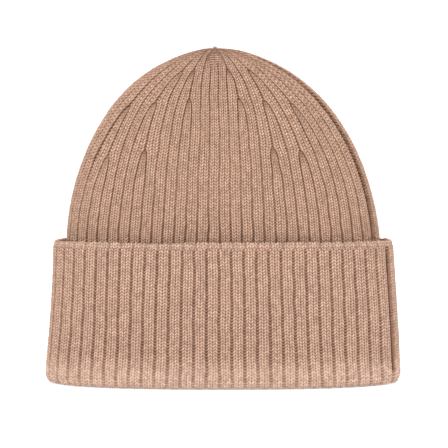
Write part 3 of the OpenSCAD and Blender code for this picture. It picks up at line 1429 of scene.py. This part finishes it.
    def inside(self, part: Part, ribs: range, row: np.ndarray, inset: float, swell: float) -> Patch:
        """The inner surface of some ribs, where each furrow of the outside stands out as a ridge.

        The height is swell cos(2 pi t) across a rib, with a small bump at each row.

        Args:
            part: The stretch of knitting.
            ribs: The ribs' numbers.
            row: Rows, rising.
            inset: How far inside the smooth outer surface it lies.
            swell: The height of the ridges.

        Returns:
            One line of points for each row.
        """
        columns = np.array([0, 0.12, 0.3, 0.5, 0.7, 0.88])
        rib = np.append(np.repeat(np.arange(ribs.start, ribs.stop), len(columns)), ribs.stop)
        t = np.append(np.tile(columns, len(ribs)), 0.0)
        edge, span, _, _, wide = self.spans(part, rib, row)
        share = edge + t * span
        rows = row[:, None] + 0 * share
        bump = np.cos(math.pi * (np.arange(len(row))[:, None] + np.floor(2 * t)))
        height = swell * wide * (cosine(t) + 0.25 * bump)
        points = self.base(part, share, rows, inset)
        points -= self.outward(part, share, rows, inset) * height[..., None]
        legs = (rib + t) * self.gauge.legs + 0 * rows
        # The depth is painted shade: lighter on the ridges and on each row's bump, darker between them.
        return Patch(points, np.stack([legs, rows, 0.45 - 0.3 * cosine(t) - 0.1 * bump], axis=-1))


# ---------------------------------------------------------------- sub-assemblies


class Sector(Enum):
    """The four walls that the knitting is divided into, each from one rib to another."""

    RIGHT_BACK = (0, 16)
    LEFT_BACK = (16, 33)
    LEFT_FRONT = (33, 47)
    RIGHT_FRONT = (47, 62)

    @property
    def ribs(self) -> range:
        """The ribs of this wall."""
        return range(*self.value)

    @property
    def label(self) -> str:
        """The wall's name in lower case."""
        return self.name.lower()


@dataclass
class KnittedBody:
    """The hat's own layer: the tube that hides inside the cuff and rises above it, and the crown."""

    knitting: Knitting
    crown_row: float = 31.0
    hidden_rows: tuple[float, ...] = (-47.2, -38.0, -28.0, -18.0, -12.0, -9.0)
    first_row: float = -7.0
    smooth_below: float = -9.5
    wall: float = 2.6 * MM
    inner_swell: float = 0.5 * MM
    tip_gap: float = 0.04
    gore_share: float = 0.68

    def build(self, finish: KnitFinish) -> None:
        """Builds the walls of the body and of the crown.

        Args:
            finish: The body's yarn.
        """
        material = finish.material()
        gauge = self.knitting.gauge
        top = self.knitting.last_row - self.tip_gap
        visible = gauge.rows(self.first_row, self.crown_row, gauge.row_samples)
        body_rows = np.concatenate([self.hidden_rows, visible])
        crown_rows = gauge.rows(self.crown_row, top, gauge.row_samples)
        for sector in Sector:
            wall = self.wall_piece(f"knit_body_{sector.label}", sector, body_rows)
            dress(wall, material, "body_knit", "hat", "knit_body")
            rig.sheet(wall, flat=self.flat(sector, body_rows), held="folded")
            gore = self.wall_piece(f"crown_{sector.label}", sector, crown_rows)
            dress(gore, material, "body_knit", "hat", "crown")
            width, length = self.flat(sector, crown_rows)
            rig.sheet(gore, flat=(width, length), held="gathered", area=self.gore_share * width * length)

    def flat(self, sector: Sector, rows: np.ndarray) -> tuple[float, float]:
        """The flat size of a wall from its first row to its last."""
        gauge = self.knitting.gauge
        return gauge.flat(len(sector.ribs), gauge.body_rib, float(rows[-1] - rows[0]))

    def wall_piece(self, name: str, sector: Sector, rows: np.ndarray) -> bpy.types.Object:
        """Builds one wall.

        Args:
            name: The piece's name.
            sector: Which ribs it holds.
            rows: Rows of its outer surface.

        Returns:
            The wall.
        """
        knitting = self.knitting
        strength = smooth((rows - self.smooth_below) / 2)
        inner_rows = knitting.gauge.rows(rows[0], rows[-1], 1)
        outer = knitting.outside(Part.BODY, sector.ribs, rows, strength)
        inner = knitting.inside(Part.BODY, sector.ribs, inner_rows, self.wall, self.inner_swell)
        return shell(name, outer, inner)


@dataclass
class TurnedCuff:
    """The deep turned-up cuff: its wall, the fold it turns up at and its cast-on edge."""

    knitting: Knitting
    wall: float = 2.9 * MM
    inner_swell: float = 0.3 * MM
    fold_rows: float = 8.0
    fold_lift: float = 0.75 * MM
    fold_width: float = 6.8 * MM
    smooth_rows: float = 9.0
    paleness: float = 0.24
    welt_legs: int = 6
    welt_leg_samples: int = 4
    welt_sink: float = 0.35 * MM
    welt_stitch: tuple[float, float] = (0.2 * MM, 0.4 * MM)
    welt_furrow: float = 0.45 * MM
    welt_uneven: float = 0.12 * MM
    edge_sway: float = 0.35 * MM
    edge_uneven: float = 0.22 * MM

    def build(self, finish: KnitFinish, welt_finish: KnitFinish) -> None:
        """Builds the cuff's walls, which are paler towards the fold, its fold and its welt.

        Args:
            finish: The cuff's yarn.
            welt_finish: The cast-on edge's yarn.
        """
        material = finish.material()
        gauge = self.knitting.gauge
        top = self.knitting.cuff_rows
        rows, inner_rows = (gauge.rows(0, top, each) for each in (gauge.row_samples, 1))
        # Towards the fold the painted shade is lessened, so the wall is paler there.
        pale = self.paleness * (1 - smooth(rows / self.smooth_rows))
        for sector in Sector:
            outer = self.knitting.outside(Part.CUFF, sector.ribs, rows, np.ones_like(rows))
            outer.knit[..., 2] -= pale[:, None]
            inner = self.knitting.inside(Part.CUFF, sector.ribs, inner_rows, self.wall, self.inner_swell)
            wall = shell(f"cuff_{sector.label}", outer, inner)
            dress(wall, material, "cuff_knit", "hat", "cuff")
            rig.sheet(wall, flat=gauge.flat(len(sector.ribs), gauge.cuff_rib, top), held="folded")
        fold = self.fold()
        dress(fold, material, "cuff_knit", "hat", "cuff_fold")
        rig.sheet(fold, flat=gauge.flat(gauge.ribs, gauge.cuff_rib, self.fold_rows), held="folded")
        dress(self.welt(), welt_finish.material(), "welt_knit", "hat", "cuff_welt")

    def fold(self) -> bpy.types.Object:
        """Builds the fold, on which the hat stands.

        Its section is a half loop: it starts inside, runs down, out and up again, as
        inset = w / 2 (1 - cos t) and height = top - top sin t for t from pi to 0.

        Returns:
            The fold, one closed ring.
        """
        knitting, form = self.knitting, self.knitting.form
        rows = knitting.gauge.rows(-self.fold_rows, 0, knitting.gauge.row_samples)
        ribs = range(knitting.gauge.ribs)
        share, height, knit = knitting.places(Part.CUFF, ribs, rows, np.ones_like(rows))
        t = math.pi * (-rows / self.fold_rows)[:, None, None]
        out = knitting.level_out(share, 0 * share)
        points = form.cuff(share, form.fold_top + 0 * share)
        points -= out * 0.5 * self.fold_width * (1 - np.cos(t))
        points[..., 2] = form.fold_top - (form.fold_top - self.fold_lift) * np.sin(t[..., 0])
        points += (out * np.cos(t) - UP * np.sin(t)) * height[..., None]
        # The fold takes the same lessened painted shade, and is paler.
        knit[..., 2] -= self.paleness
        return ring("fold_knit", Patch(points[:, :-1], knit[:, :-1]), flat_row=True)

    def welt_section(self) -> tuple[np.ndarray, np.ndarray, np.ndarray]:
        """The welt's section, which climbs the cuff's outside and turns over its top.

        It goes over a half circle as wide as the wall, and comes down inside:
        inset = w / 2 (1 - cos t), height = flat + w / 2 sin t.

        Returns:
            Heights above the wall, insets, and the angles from outwards that it faces.
        """
        radius = 0.5 * self.wall
        climb = np.linspace(0, 1, 7)[:-1]
        bend = np.linspace(0, math.pi, 13)
        straight = self.knitting.welt_height - radius
        lift = [climb * straight, straight + radius * np.sin(bend), climb[::-1] * straight]
        inset = [0 * climb, radius * (1 - np.cos(bend)), 2 * radius + 0 * climb]
        facing = [0 * climb, bend, math.pi + 0 * climb]
        return np.concatenate(lift), np.concatenate(inset), np.concatenate(facing)

    def welt(self) -> bpy.types.Object:
        """Builds the cast-on edge, whose stitches rise from the cuff's and turn over the top.

        The legs go on over the furrows, a little lower there, and every leg's top is a little
        uneven.

        Returns:
            The welt, one closed ring.
        """
        knitting = self.knitting
        ribs, per_rib = knitting.gauge.ribs, self.welt_legs
        place = np.arange(ribs * per_rib * self.welt_leg_samples) / self.welt_leg_samples
        leg = np.floor(place).astype(int)
        within = place - leg
        thin = Part.CUFF.value.furrow_share
        starts = np.array([0, *np.linspace(thin, 1 - thin, per_rib - 1), 1])
        part_rib = np.interp(place % per_rib, np.arange(per_rib + 1), starts)
        uneven = np.random.default_rng(41).uniform(-1, 1, ribs * per_rib)[leg]
        over_furrow = bell(np.minimum(part_rib, 1 - part_rib) / 0.08)

        lift, inset, facing = self.welt_section()
        row = knitting.cuff_rows + lift[:, None] / knitting.gauge.row
        share = ((np.floor(place / per_rib) + part_rib) / ribs)[None, :] + 0 * row
        phase, _ = knitting.phase(share, row, leg, within)
        across, along = arch(within), arch(phase - np.floor(phase))
        cross, length = self.welt_stitch
        height = cross * across + length * along * (0.4 + 0.6 * across) - self.welt_sink
        height = height - self.welt_furrow * over_furrow + self.welt_uneven * uneven

        rows = knitting.cuff_rows + 0 * share
        out = knitting.level_out(share, rows)
        facing = facing[:, None, None]
        spot = knitting.raised(Part.CUFF, share, rows[:, 0], 0 * share)
        spot -= out * (inset[:, None, None] + self.welt_sink)
        spot += (out * np.cos(facing) + UP * np.sin(facing)) * height[..., None]
        edge = (lift / lift.max())[:, None] ** 2
        ripple = self.edge_sway * knitting.sway.at(share, 0 * share) + self.edge_uneven * uneven
        spot[..., 2] += lift[:, None] + edge * ripple
        # Painted light and shade: painted highlight on the legs' crests, painted shade in their gaps and where they
        # pass over the furrows.
        light = painted_stitch_light(within, phase) * 0.8 * (1 - 0.3 * over_furrow) + 0.12
        knit = np.stack([leg + 0.98 * within + 0 * phase, phase, 1 - light], axis=-1)
        return ring("welt_knit", Patch(spot, knit), flat_row=True)


@dataclass
class LooseFibres:
    """The soft fuzz of the yarn: short fine fibres that stand off the stitches and curl."""

    knitting: Knitting
    count: int = 4600
    radius: float = 0.035 * MM
    taper: tuple[float, ...] = (1.0, 1.0, 0.85, 0.5)
    lengths: tuple[float, float] = (1.2 * MM, 3.2 * MM)
    leans: tuple[float, float] = (0.9, 2.6)
    rooted: float = 0.5 * MM
    lay: Lay = Lay(axis=0, legs=900, rows=900, depth=0.1)

    def build(self, finish: KnitFinish) -> None:
        """Builds the fuzz of the body and that of the cuff.

        Args:
            finish: The fibres' finish.
        """
        material = finish.material()
        last, top = self.knitting.last_row - 1.5, self.knitting.cuff_rows + 2.0
        dress(self.fibres("body_fuzz", Part.BODY, (-1.0, last), 51), material, "body_knit", "hat")
        dress(self.fibres("cuff_fuzz", Part.CUFF, (-0.5, top), 52), material, "cuff_knit", "hat")

    def fibres(self, name: str, part: Part, rows: tuple[float, float], seed: int) -> bpy.types.Object:
        """Fibres at random places of one stretch, each of which leans over as it rises.

        A fibre's height is length sin(lean t) and its run length (1 - cos(lean t)), both over
        the lean, as along a circle. Fewer grow where the hat is narrower.

        Args:
            name: The piece's name.
            part: The stretch of knitting.
            rows: The lowest and the highest row.
            seed: Seed of the draw.

        Returns:
            The fibres, as one piece.
        """
        draw = np.random.default_rng(seed)
        knitting = self.knitting
        row = draw.uniform(*rows, self.count)
        share = draw.uniform(0, 1, self.count)
        chance = knitting.girth(part, row) / knitting.girth(part, np.zeros(1))
        keep = draw.uniform(0, 1, self.count) < chance
        row, share = row[keep][:, None], share[keep][:, None]
        count = len(row)
        root = knitting.base(part, share, row)
        out = knitting.outward(part, share, row)
        length = draw.uniform(*self.lengths, (count, 1, 1))
        lean = draw.uniform(*self.leans, (count, 1, 1))
        heading = draw.normal(0, 1, (count, 3))[:, None]
        heading = unit(heading - out * np.sum(heading * out, axis=2, keepdims=True))
        t = np.linspace(0, 1, len(self.taper))[None, :, None]
        rise = length * np.sin(lean * t) / lean
        run = length * (1 - np.cos(lean * t)) / lean
        path = root + out * (rise - self.rooted) + heading * run
        radii = np.broadcast_to(self.radius * np.array(self.taper), path.shape[:2])
        return strands(name, path, radii, 3, self.lay)


@dataclass
class SideSeam:
    """The seam up the hat's side: its allowances, and the yarn that closes it."""

    knitting: Knitting
    width: float = 4 * MM
    depth: float = 2.6 * MM
    wall: float = 3.5 * MM
    cuff_depth: float = 1.2 * MM
    cuff_wall: float = 3.7 * MM
    step: float = 0.6 * MM
    sides: int = 16
    yarn: float = 0.5 * MM
    swell: tuple[float, ...] = (0.6, 0.9, 0.9, 1.0, 1.2, 1.0, 0.9, 0.9, 0.6)
    ladder_level: float = -0.15 * MM
    ladder_dip: float = 0.45 * MM
    ladder_reach: float = 1.15
    inner_reach: float = 1.7 * MM
    inner_bow: float = 0.35 * MM
    inner_gap: float = 0.1 * MM
    lay: Lay = Lay(axis=1, legs=3 / (1.1 * MM), rows=1 / (1.1 * MM), depth=0.15)

    def build(self, finish: KnitFinish) -> None:
        """Builds the two allowances and the stitches.

        Args:
            finish: The seam's yarn.
        """
        material = finish.material()
        form = self.knitting.form
        for node, surface, wall, depth in (
            ("side_seam", form.body, self.wall, self.depth),
            ("cuff_seam", form.cuff, self.cuff_wall, self.cuff_depth),
        ):
            low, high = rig.box(node)
            heights = np.arange(low.z, high.z, self.step)
            path = surface(np.zeros_like(heights), heights, wall)
            dress(self.allowance(f"{node}_ridge", path, depth), material, "seam_yarn", "hat", node)
        dress(self.stitches(), material, "seam_yarn", "hat", "seam_stitches")

    def outward(self) -> np.ndarray:
        """The seam's outward direction in plan, the same all the way up.

        Returns:
            A unit vector.
        """
        form = self.knitting.form
        x, y = form.oval(form.angle(np.zeros(1)))
        width, depth = form.body_half
        power = form.power - 1
        return unit(np.array([x[0] ** power / width, -(abs(y[0]) ** power) / depth, 0.0]))

    def allowance(self, name: str, path: np.ndarray, depth: float) -> bpy.types.Object:
        """A rounded ridge of folded-in stitches along a path on the wall.

        Its section is an oval of the seam's width and a given depth, and it swells at each row.

        Args:
            name: The piece's name.
            path: Points on the wall.
            depth: Its depth.

        Returns:
            The ridge.
        """
        out = self.outward()
        side = np.cross(UP, out)
        turn = turns(self.sides)
        row = path[:, 2:] / self.knitting.gauge.row
        swell = 1 - 0.12 * cosine(row)
        across = np.cos(turn) * 0.5 * self.width * swell
        deep = (np.sin(turn) - 1) * 0.5 * depth * swell
        points = path[:, None] + side * across[..., None] + out * deep[..., None]
        # Painted shade, darker at each row where the ridge narrows.
        shade = 0.35 + 0.3 * cosine(row) + 0 * across
        patch = Patch(points, np.stack([turn * 2 + 0 * across, row + 0 * across, shade], axis=-1))
        number = patch.numbers()
        caps = np.stack([number[0][::-1], number[-1]])
        return new_mesh(name, points, [cells(number, closed=True)], [caps], patch.knit)

    def stitches(self) -> bpy.types.Object:
        """The seaming yarn: a short strand across the seam at each row, outside and inside.

        Outside the strands span the seam's groove and sag, and inside they bow over its
        allowance.

        Returns:
            All the strands, as one piece.
        """
        knitting = self.knitting
        paths = []
        for part, rows in (
            (Part.BODY, np.arange(-3.5, knitting.last_row - 3.5)),
            (Part.CUFF, np.arange(1.5, 42.5)),
        ):
            reach = self.ladder_reach * knitting.seam_share(part, rows)
            paths.append(self.crossing(part, rows, reach, 0.3, self.ladder_level, -self.ladder_dip))
        rows = np.arange(-40.0, 52.0, 2.8)
        reach = self.inner_reach / knitting.girth(Part.BODY, rows)
        level = -(self.wall + self.depth + self.inner_gap)
        paths.append(self.crossing(Part.BODY, rows, reach, 0.28, level, self.inner_bow))
        paths = np.concatenate(paths)
        radii = np.broadcast_to(self.yarn * np.array(self.swell), paths.shape[:2])
        return strands("seam_crossings", paths, radii, 6, self.lay)

    def crossing(
        self, part: Part, rows: np.ndarray, reach: np.ndarray, slant: float, level: float, bow: float
    ) -> np.ndarray:
        """Paths that cross the seam, at heights level + bow (1 - t^2) for t from -1 to 1.

        Args:
            part: The stretch of knitting.
            rows: The row of each path's middle.
            reach: The share that each path reaches to either side.
            slant: How many rows it climbs from its middle to its end.
            level: How far outside the smooth surface its ends lie.
            bow: How much further out its middle lies.

        Returns:
            Points, by path and by step.
        """
        t = np.linspace(-1, 1, len(self.swell))
        share, row = t * reach[:, None], rows[:, None] + slant * t
        lift = level + bow * (1 - t**2)
        out = self.knitting.outward(part, share, row)
        return self.knitting.base(part, share, row) + out * lift[:, None]


@dataclass
class CrownClosing:
    """What closes the tip: the yarn drawn through the last stitches, and its end."""

    knitting: Knitting
    twists: int = 26
    steps: int = 160
    sides: int = 14
    waver: float = 0.25 * MM
    dip: float = 0.2 * MM
    strands: int = 70
    lengths: tuple[float, float] = (1.1, 1.9)
    root_sink: float = 0.9 * MM
    root_spread: float = 0.2 * MM
    radius: float = 0.13 * MM
    lay: Lay = Lay(axis=0, legs=4000, rows=3000, depth=0.25)

    def build(self, closing: KnitFinish, tuft: KnitFinish) -> None:
        """Builds the drawn-in yarn and the tuft.

        Args:
            closing: The drawn-in yarn's finish.
            tuft: The tuft's finish.
        """
        dress(self.closing_ring(), closing.material(), "closing_yarn", "hat", "closing_yarn")
        dress(self.tuft(), tuft.material(), "tuft_yarn", "hat", "yarn_tuft")

    def closing_ring(self) -> bpy.types.Object:
        """The drawn-in yarn: a ring of two plies, r (1 + 0.2 |cos(b - n a / 2)|), that dips and rises.

        Returns:
            The ring.
        """
        low, high = (np.array(corner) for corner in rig.box("closing_yarn"))
        radius = (high[2] - low[2]) / 2
        reach = (high[0] - low[0]) / 2 - radius
        along, turn = turns(self.steps)[None, :], turns(self.sides)[:, None]
        ridge = np.abs(np.cos(turn - self.twists / 2 * along))
        ply = 0.82 * radius * (1 + 0.2 * ridge)
        spoke = reach + self.waver * np.sin(5 * along) + ply * np.cos(turn)
        rise = ply * np.sin(turn) + self.dip * np.sin(7 * along)
        points = np.stack([spoke * np.cos(along), spoke * np.sin(along), rise], axis=-1)
        # The depth is painted shade: light on the plies' ridges, darker between the plies.
        knit = np.stack([turn + 0 * along, along * 12 + 0 * turn, 0.6 - 0.6 * ridge], axis=-1)
        return ring("drawn_in_yarn", Patch((low + high) / 2 + points, knit))

    def tuft(self) -> bpy.types.Object:
        """The end of yarn at the tip: loose fibres that spring from one place and curl over.

        Returns:
            The fibres, as one piece.
        """
        draw = np.random.default_rng(31)
        low, high = (np.array(corner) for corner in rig.box("yarn_tuft"))
        root = np.array([(low[0] + high[0]) / 2, (low[1] + high[1]) / 2, low[2] - self.root_sink])
        each = (self.strands, 1)
        turn = draw.uniform(0, TURN, each)
        spread = draw.uniform(0.1, 1.0, each) ** 0.7
        length = draw.uniform(*self.lengths, each) * MM
        t = np.linspace(0, 1, 6)[None, :]
        out = spread * length * (0.9 * t + 0.35 * t**2)
        heading = turn + draw.normal(0, 0.35, each) * t
        up = length * (t * (1.15 - 0.55 * spread) - 0.35 * spread * t**2)
        across = out * np.cos(heading) + self.root_spread * np.sin(9 * turn)
        path = root + np.stack([across, out * np.sin(heading) * 0.7, up], axis=-1)
        radii = self.radius * (1 - 0.6 * t**2) + 0 * turn
        return strands("tip_fibres", path, radii, 5, self.lay)


@dataclass
class CareLabel:
    """The blank care label, a satin ribbon folded once and caught in the seam."""

    length: float = 24 * MM
    height: float = 34 * MM
    cloth: float = 0.22 * MM
    room: float = 0.3 * MM
    bow: float = 0.14 * MM
    roll: float = 0.12 * MM
    wraps: int = 11
    tack_starts: tuple[float, float] = (2.0 * MM, 27.9 * MM)
    tack_span: tuple[float, float] = (0.2 * MM, 4.8 * MM)
    tack_middle: float = 1.2 * MM
    tack_loop: float = 0.62 * MM
    thread: float = 0.2 * MM
    edge: tuple[float, float, float] = (0.086041, -0.010255, 0.098)
    axis: tuple[float, float, float] = (-0.223884, 0.0153014, 0.974496)

    def frame(self) -> tuple[np.ndarray, np.ndarray, np.ndarray, np.ndarray]:
        """The label's lower sewn corner, and its directions out, up and through its thickness."""
        out, up = np.array([0.0, 1.0, 0.0]), unit(np.array(self.axis))
        return np.array(self.edge), out, up, unit(np.cross(out, up))

    def build(self, satin: WovenFinish, thread: WovenFinish) -> None:
        """Builds the ribbon and its tacks.

        Args:
            satin: The ribbon's finish.
            thread: The tacks' finish.
        """
        label = self.ribbon()
        dress(label, satin.material(), "label_cloth", "label", "care_label")
        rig.sheet(label, flat=(2 * self.length, self.height), held="folded")
        dress(self.tacks(), thread.material(), "label_thread", "label", "label_tacks")

    def ribbon(self) -> bpy.types.Object:
        """The folded ribbon: two layers that bow as a sine and join in a round turn.

        Its middle line runs out along one layer, round a half circle and back along the other.

        Returns:
            The ribbon, closed.
        """
        corner, out, up, face = self.frame()
        half_gap = (self.room + self.cloth) / 2
        leg = np.linspace(0, 1, 28)
        straight = self.length - half_gap - self.cloth / 2
        bend = np.linspace(-math.pi / 2, math.pi / 2, 11)[1:-1]
        spread = np.full_like(leg, half_gap)
        x = np.concatenate([straight * leg, straight + half_gap * np.cos(bend), straight * leg[::-1]])
        y = np.concatenate([-spread, half_gap * np.sin(bend), spread])
        line = np.stack([x, y], axis=1)
        ahead = unit(np.gradient(line, axis=0))
        left = ahead[:, ::-1] * (self.cloth / 2, -self.cloth / 2)
        section = np.concatenate([line + left, (line - left)[::-1]])
        bow = self.bow * np.sin(math.pi * np.clip(x / straight, 0, 1))
        rows = np.linspace(0, self.height, 30)[:, None]
        roll = self.roll * np.sin(TURN * rows / self.height)
        run, through = section.T
        lift = through + np.concatenate([bow, bow[::-1]]) + roll * (run / self.length)
        spot = corner + run[:, None] * out + rows[..., None] * up + lift[..., None] * face
        number = np.arange(lift.size).reshape(lift.shape)
        half = len(section) // 2
        ends = [cells(np.stack([line[half:][::-1], line[:half]])) for line in (number[0], number[-1][::-1])]
        return new_mesh("satin_label", spot, [cells(number, closed=True)], ends)

    def tacks(self) -> bpy.types.Object:
        """Two bar tacks: close wraps of thread over the sewn edge, at each end of the label.

        Returns:
            The tacks, as one piece.
        """
        corner, out, up, face = self.frame()
        spaced = np.linspace(*self.tack_span, self.wraps)
        lift = np.concatenate([start + spaced for start in self.tack_starts])[:, None, None]
        turn = TURN * np.arange(13)[:, None] / 12
        loop = (self.tack_middle + self.tack_loop * np.cos(turn)) * out
        path = corner + lift * up + loop + self.tack_loop * np.sin(turn) * face
        return strands("tack_wraps", path, np.full(path.shape[:2], self.thread), 6)


@dataclass(frozen=True)
class Lamp:
    """A square soft lamp: its place, the length of its side, and its power."""

    name: str
    place: tuple[float, float, float]
    size: float
    power: float


@dataclass
class Studio:
    """A pale floor that sweeps up all round, a white surround, soft lamps and the camera."""

    distance: float = 1.3
    elevation: float = 2.8
    lens: float = 168.2
    aim: tuple[float, float, float] = (0.0006, 0.0, 0.0975)
    glow: float = 0.35
    world_light: float = 0.55
    floor_reach: float = 3.0
    floor_bend: float = 1.5
    floor_height: float = 5.0
    hole: float = 0.02
    whites: tuple[float, float] = (0.86, 0.9)
    lamps: tuple[Lamp, ...] = (
        Lamp("key_lamp", (-0.7, -1.3, 1.1), 0.9, 11.0),
        Lamp("fill_lamp", (0.9, -1.2, 0.7), 1.2, 5.0),
        Lamp("top_lamp", (0.0, 0.1, 1.5), 1.2, 5.0),
        Lamp("back_lamp", (0.3, 1.4, 0.9), 1.2, 8.0),
    )

    def build(self) -> None:
        """Builds the set."""
        self.floor()
        self.surround()
        for lamp in self.lamps:
            data = bpy.data.lights.new(lamp.name, "AREA")
            data.size = lamp.size
            data.energy = lamp.power
            self.aimed(lamp.name, data, Vector(lamp.place))
        data = bpy.data.cameras.new("camera")
        data.lens = self.lens
        tilt = math.radians(self.elevation)
        away = Vector((0, -math.cos(tilt), math.sin(tilt))) * self.distance
        bpy.context.scene.camera = self.aimed("camera", data, Vector(self.aim) + away)

    def aimed(self, name: str, data: bpy.types.ID, place: Vector) -> bpy.types.Object:
        """Places a lamp or the camera so that it faces the hat.

        Args:
            name: The object's name.
            data: The lamp or the camera.
            place: Where it stands.

        Returns:
            The object.
        """
        made = bpy.data.objects.new(name, data)
        made.location = place
        made.rotation_euler = (Vector(self.aim) - place).to_track_quat("-Z", "Y").to_euler()
        bpy.context.scene.collection.objects.link(made)
        return made

    def floor(self) -> None:
        """Builds the round floor and the wall round it, with a quarter circle between."""
        bend = np.linspace(0, math.pi / 2, 25)
        outer = self.floor_reach + self.floor_bend
        run = np.array([self.hole, *(self.floor_reach + self.floor_bend * np.sin(bend)), outer])[:, None]
        lift = np.array([0.0, *(self.floor_bend * (1 - np.cos(bend))), self.floor_height])[:, None]
        turn = -turns(96)
        points = np.stack([run * np.cos(turn), run * np.sin(turn), lift + 0 * turn], axis=-1)
        number = np.arange(run.size * turn.size).reshape(run.size, turn.size)
        sweep = new_mesh(
            "studio_sweep", points, [cells(number, closed=True)], [number[0][None, ::-1]]
        )
        graph = Graph("studio_white")
        cloud = graph.noise(2.0)
        dull, bright = ((white, white, white, 1.0) for white in self.whites)
        colour = graph.mix(cloud, dull, bright)
        material = graph.cloth(colour, 0.8 + cloud * 0.1, cloud, 0.01 * MM, 0.0, self.glow)
        sweep.data.materials.append(material)
        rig.stage(sweep)

    def surround(self) -> None:
        """Lights the set evenly in white from all sides."""
        world = bpy.data.worlds.new("studio_light")
        bpy.context.scene.world = world
        world.use_nodes = True
        shade = world.node_tree.nodes["Background"]
        shade.inputs["Color"].default_value = WHITE
        shade.inputs["Strength"].default_value = self.world_light
        bpy.context.scene.view_settings.view_transform = "Standard"


def write_sizes() -> None:
    """Writes the CAD model's box and the visual model's box."""
    boxes = {"cad": CAD_BOX, "visual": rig.bounds()}
    plain = {name: [list(corner) for corner in box] for name, box in boxes.items()}
    with open(SIZE_FILE, "w", encoding="utf-8") as out:
        json.dump(plain, out, indent=1)


def main() -> None:
    """Builds the hat, piece by piece, and the studio round it."""
    logging.basicConfig(level=logging.INFO, format="%(name)s %(message)s")
    knitting = Knitting(HatForm(), Gauge())
    LOG.info("rows %.1f, left rib %d", knitting.last_row, knitting.left_rib)
    Studio().build()
    KnittedBody(knitting).build(BODY_YARN)
    TurnedCuff(knitting).build(CUFF_YARN, WELT_YARN)
    LooseFibres(knitting).build(FUZZ)
    SideSeam(knitting).build(SEAM_YARN)
    CrownClosing(knitting).build(CLOSING_YARN, TUFT_YARN)
    CareLabel().build(SATIN, THREAD)
    write_sizes()


if __name__ == "__main__":
    main()
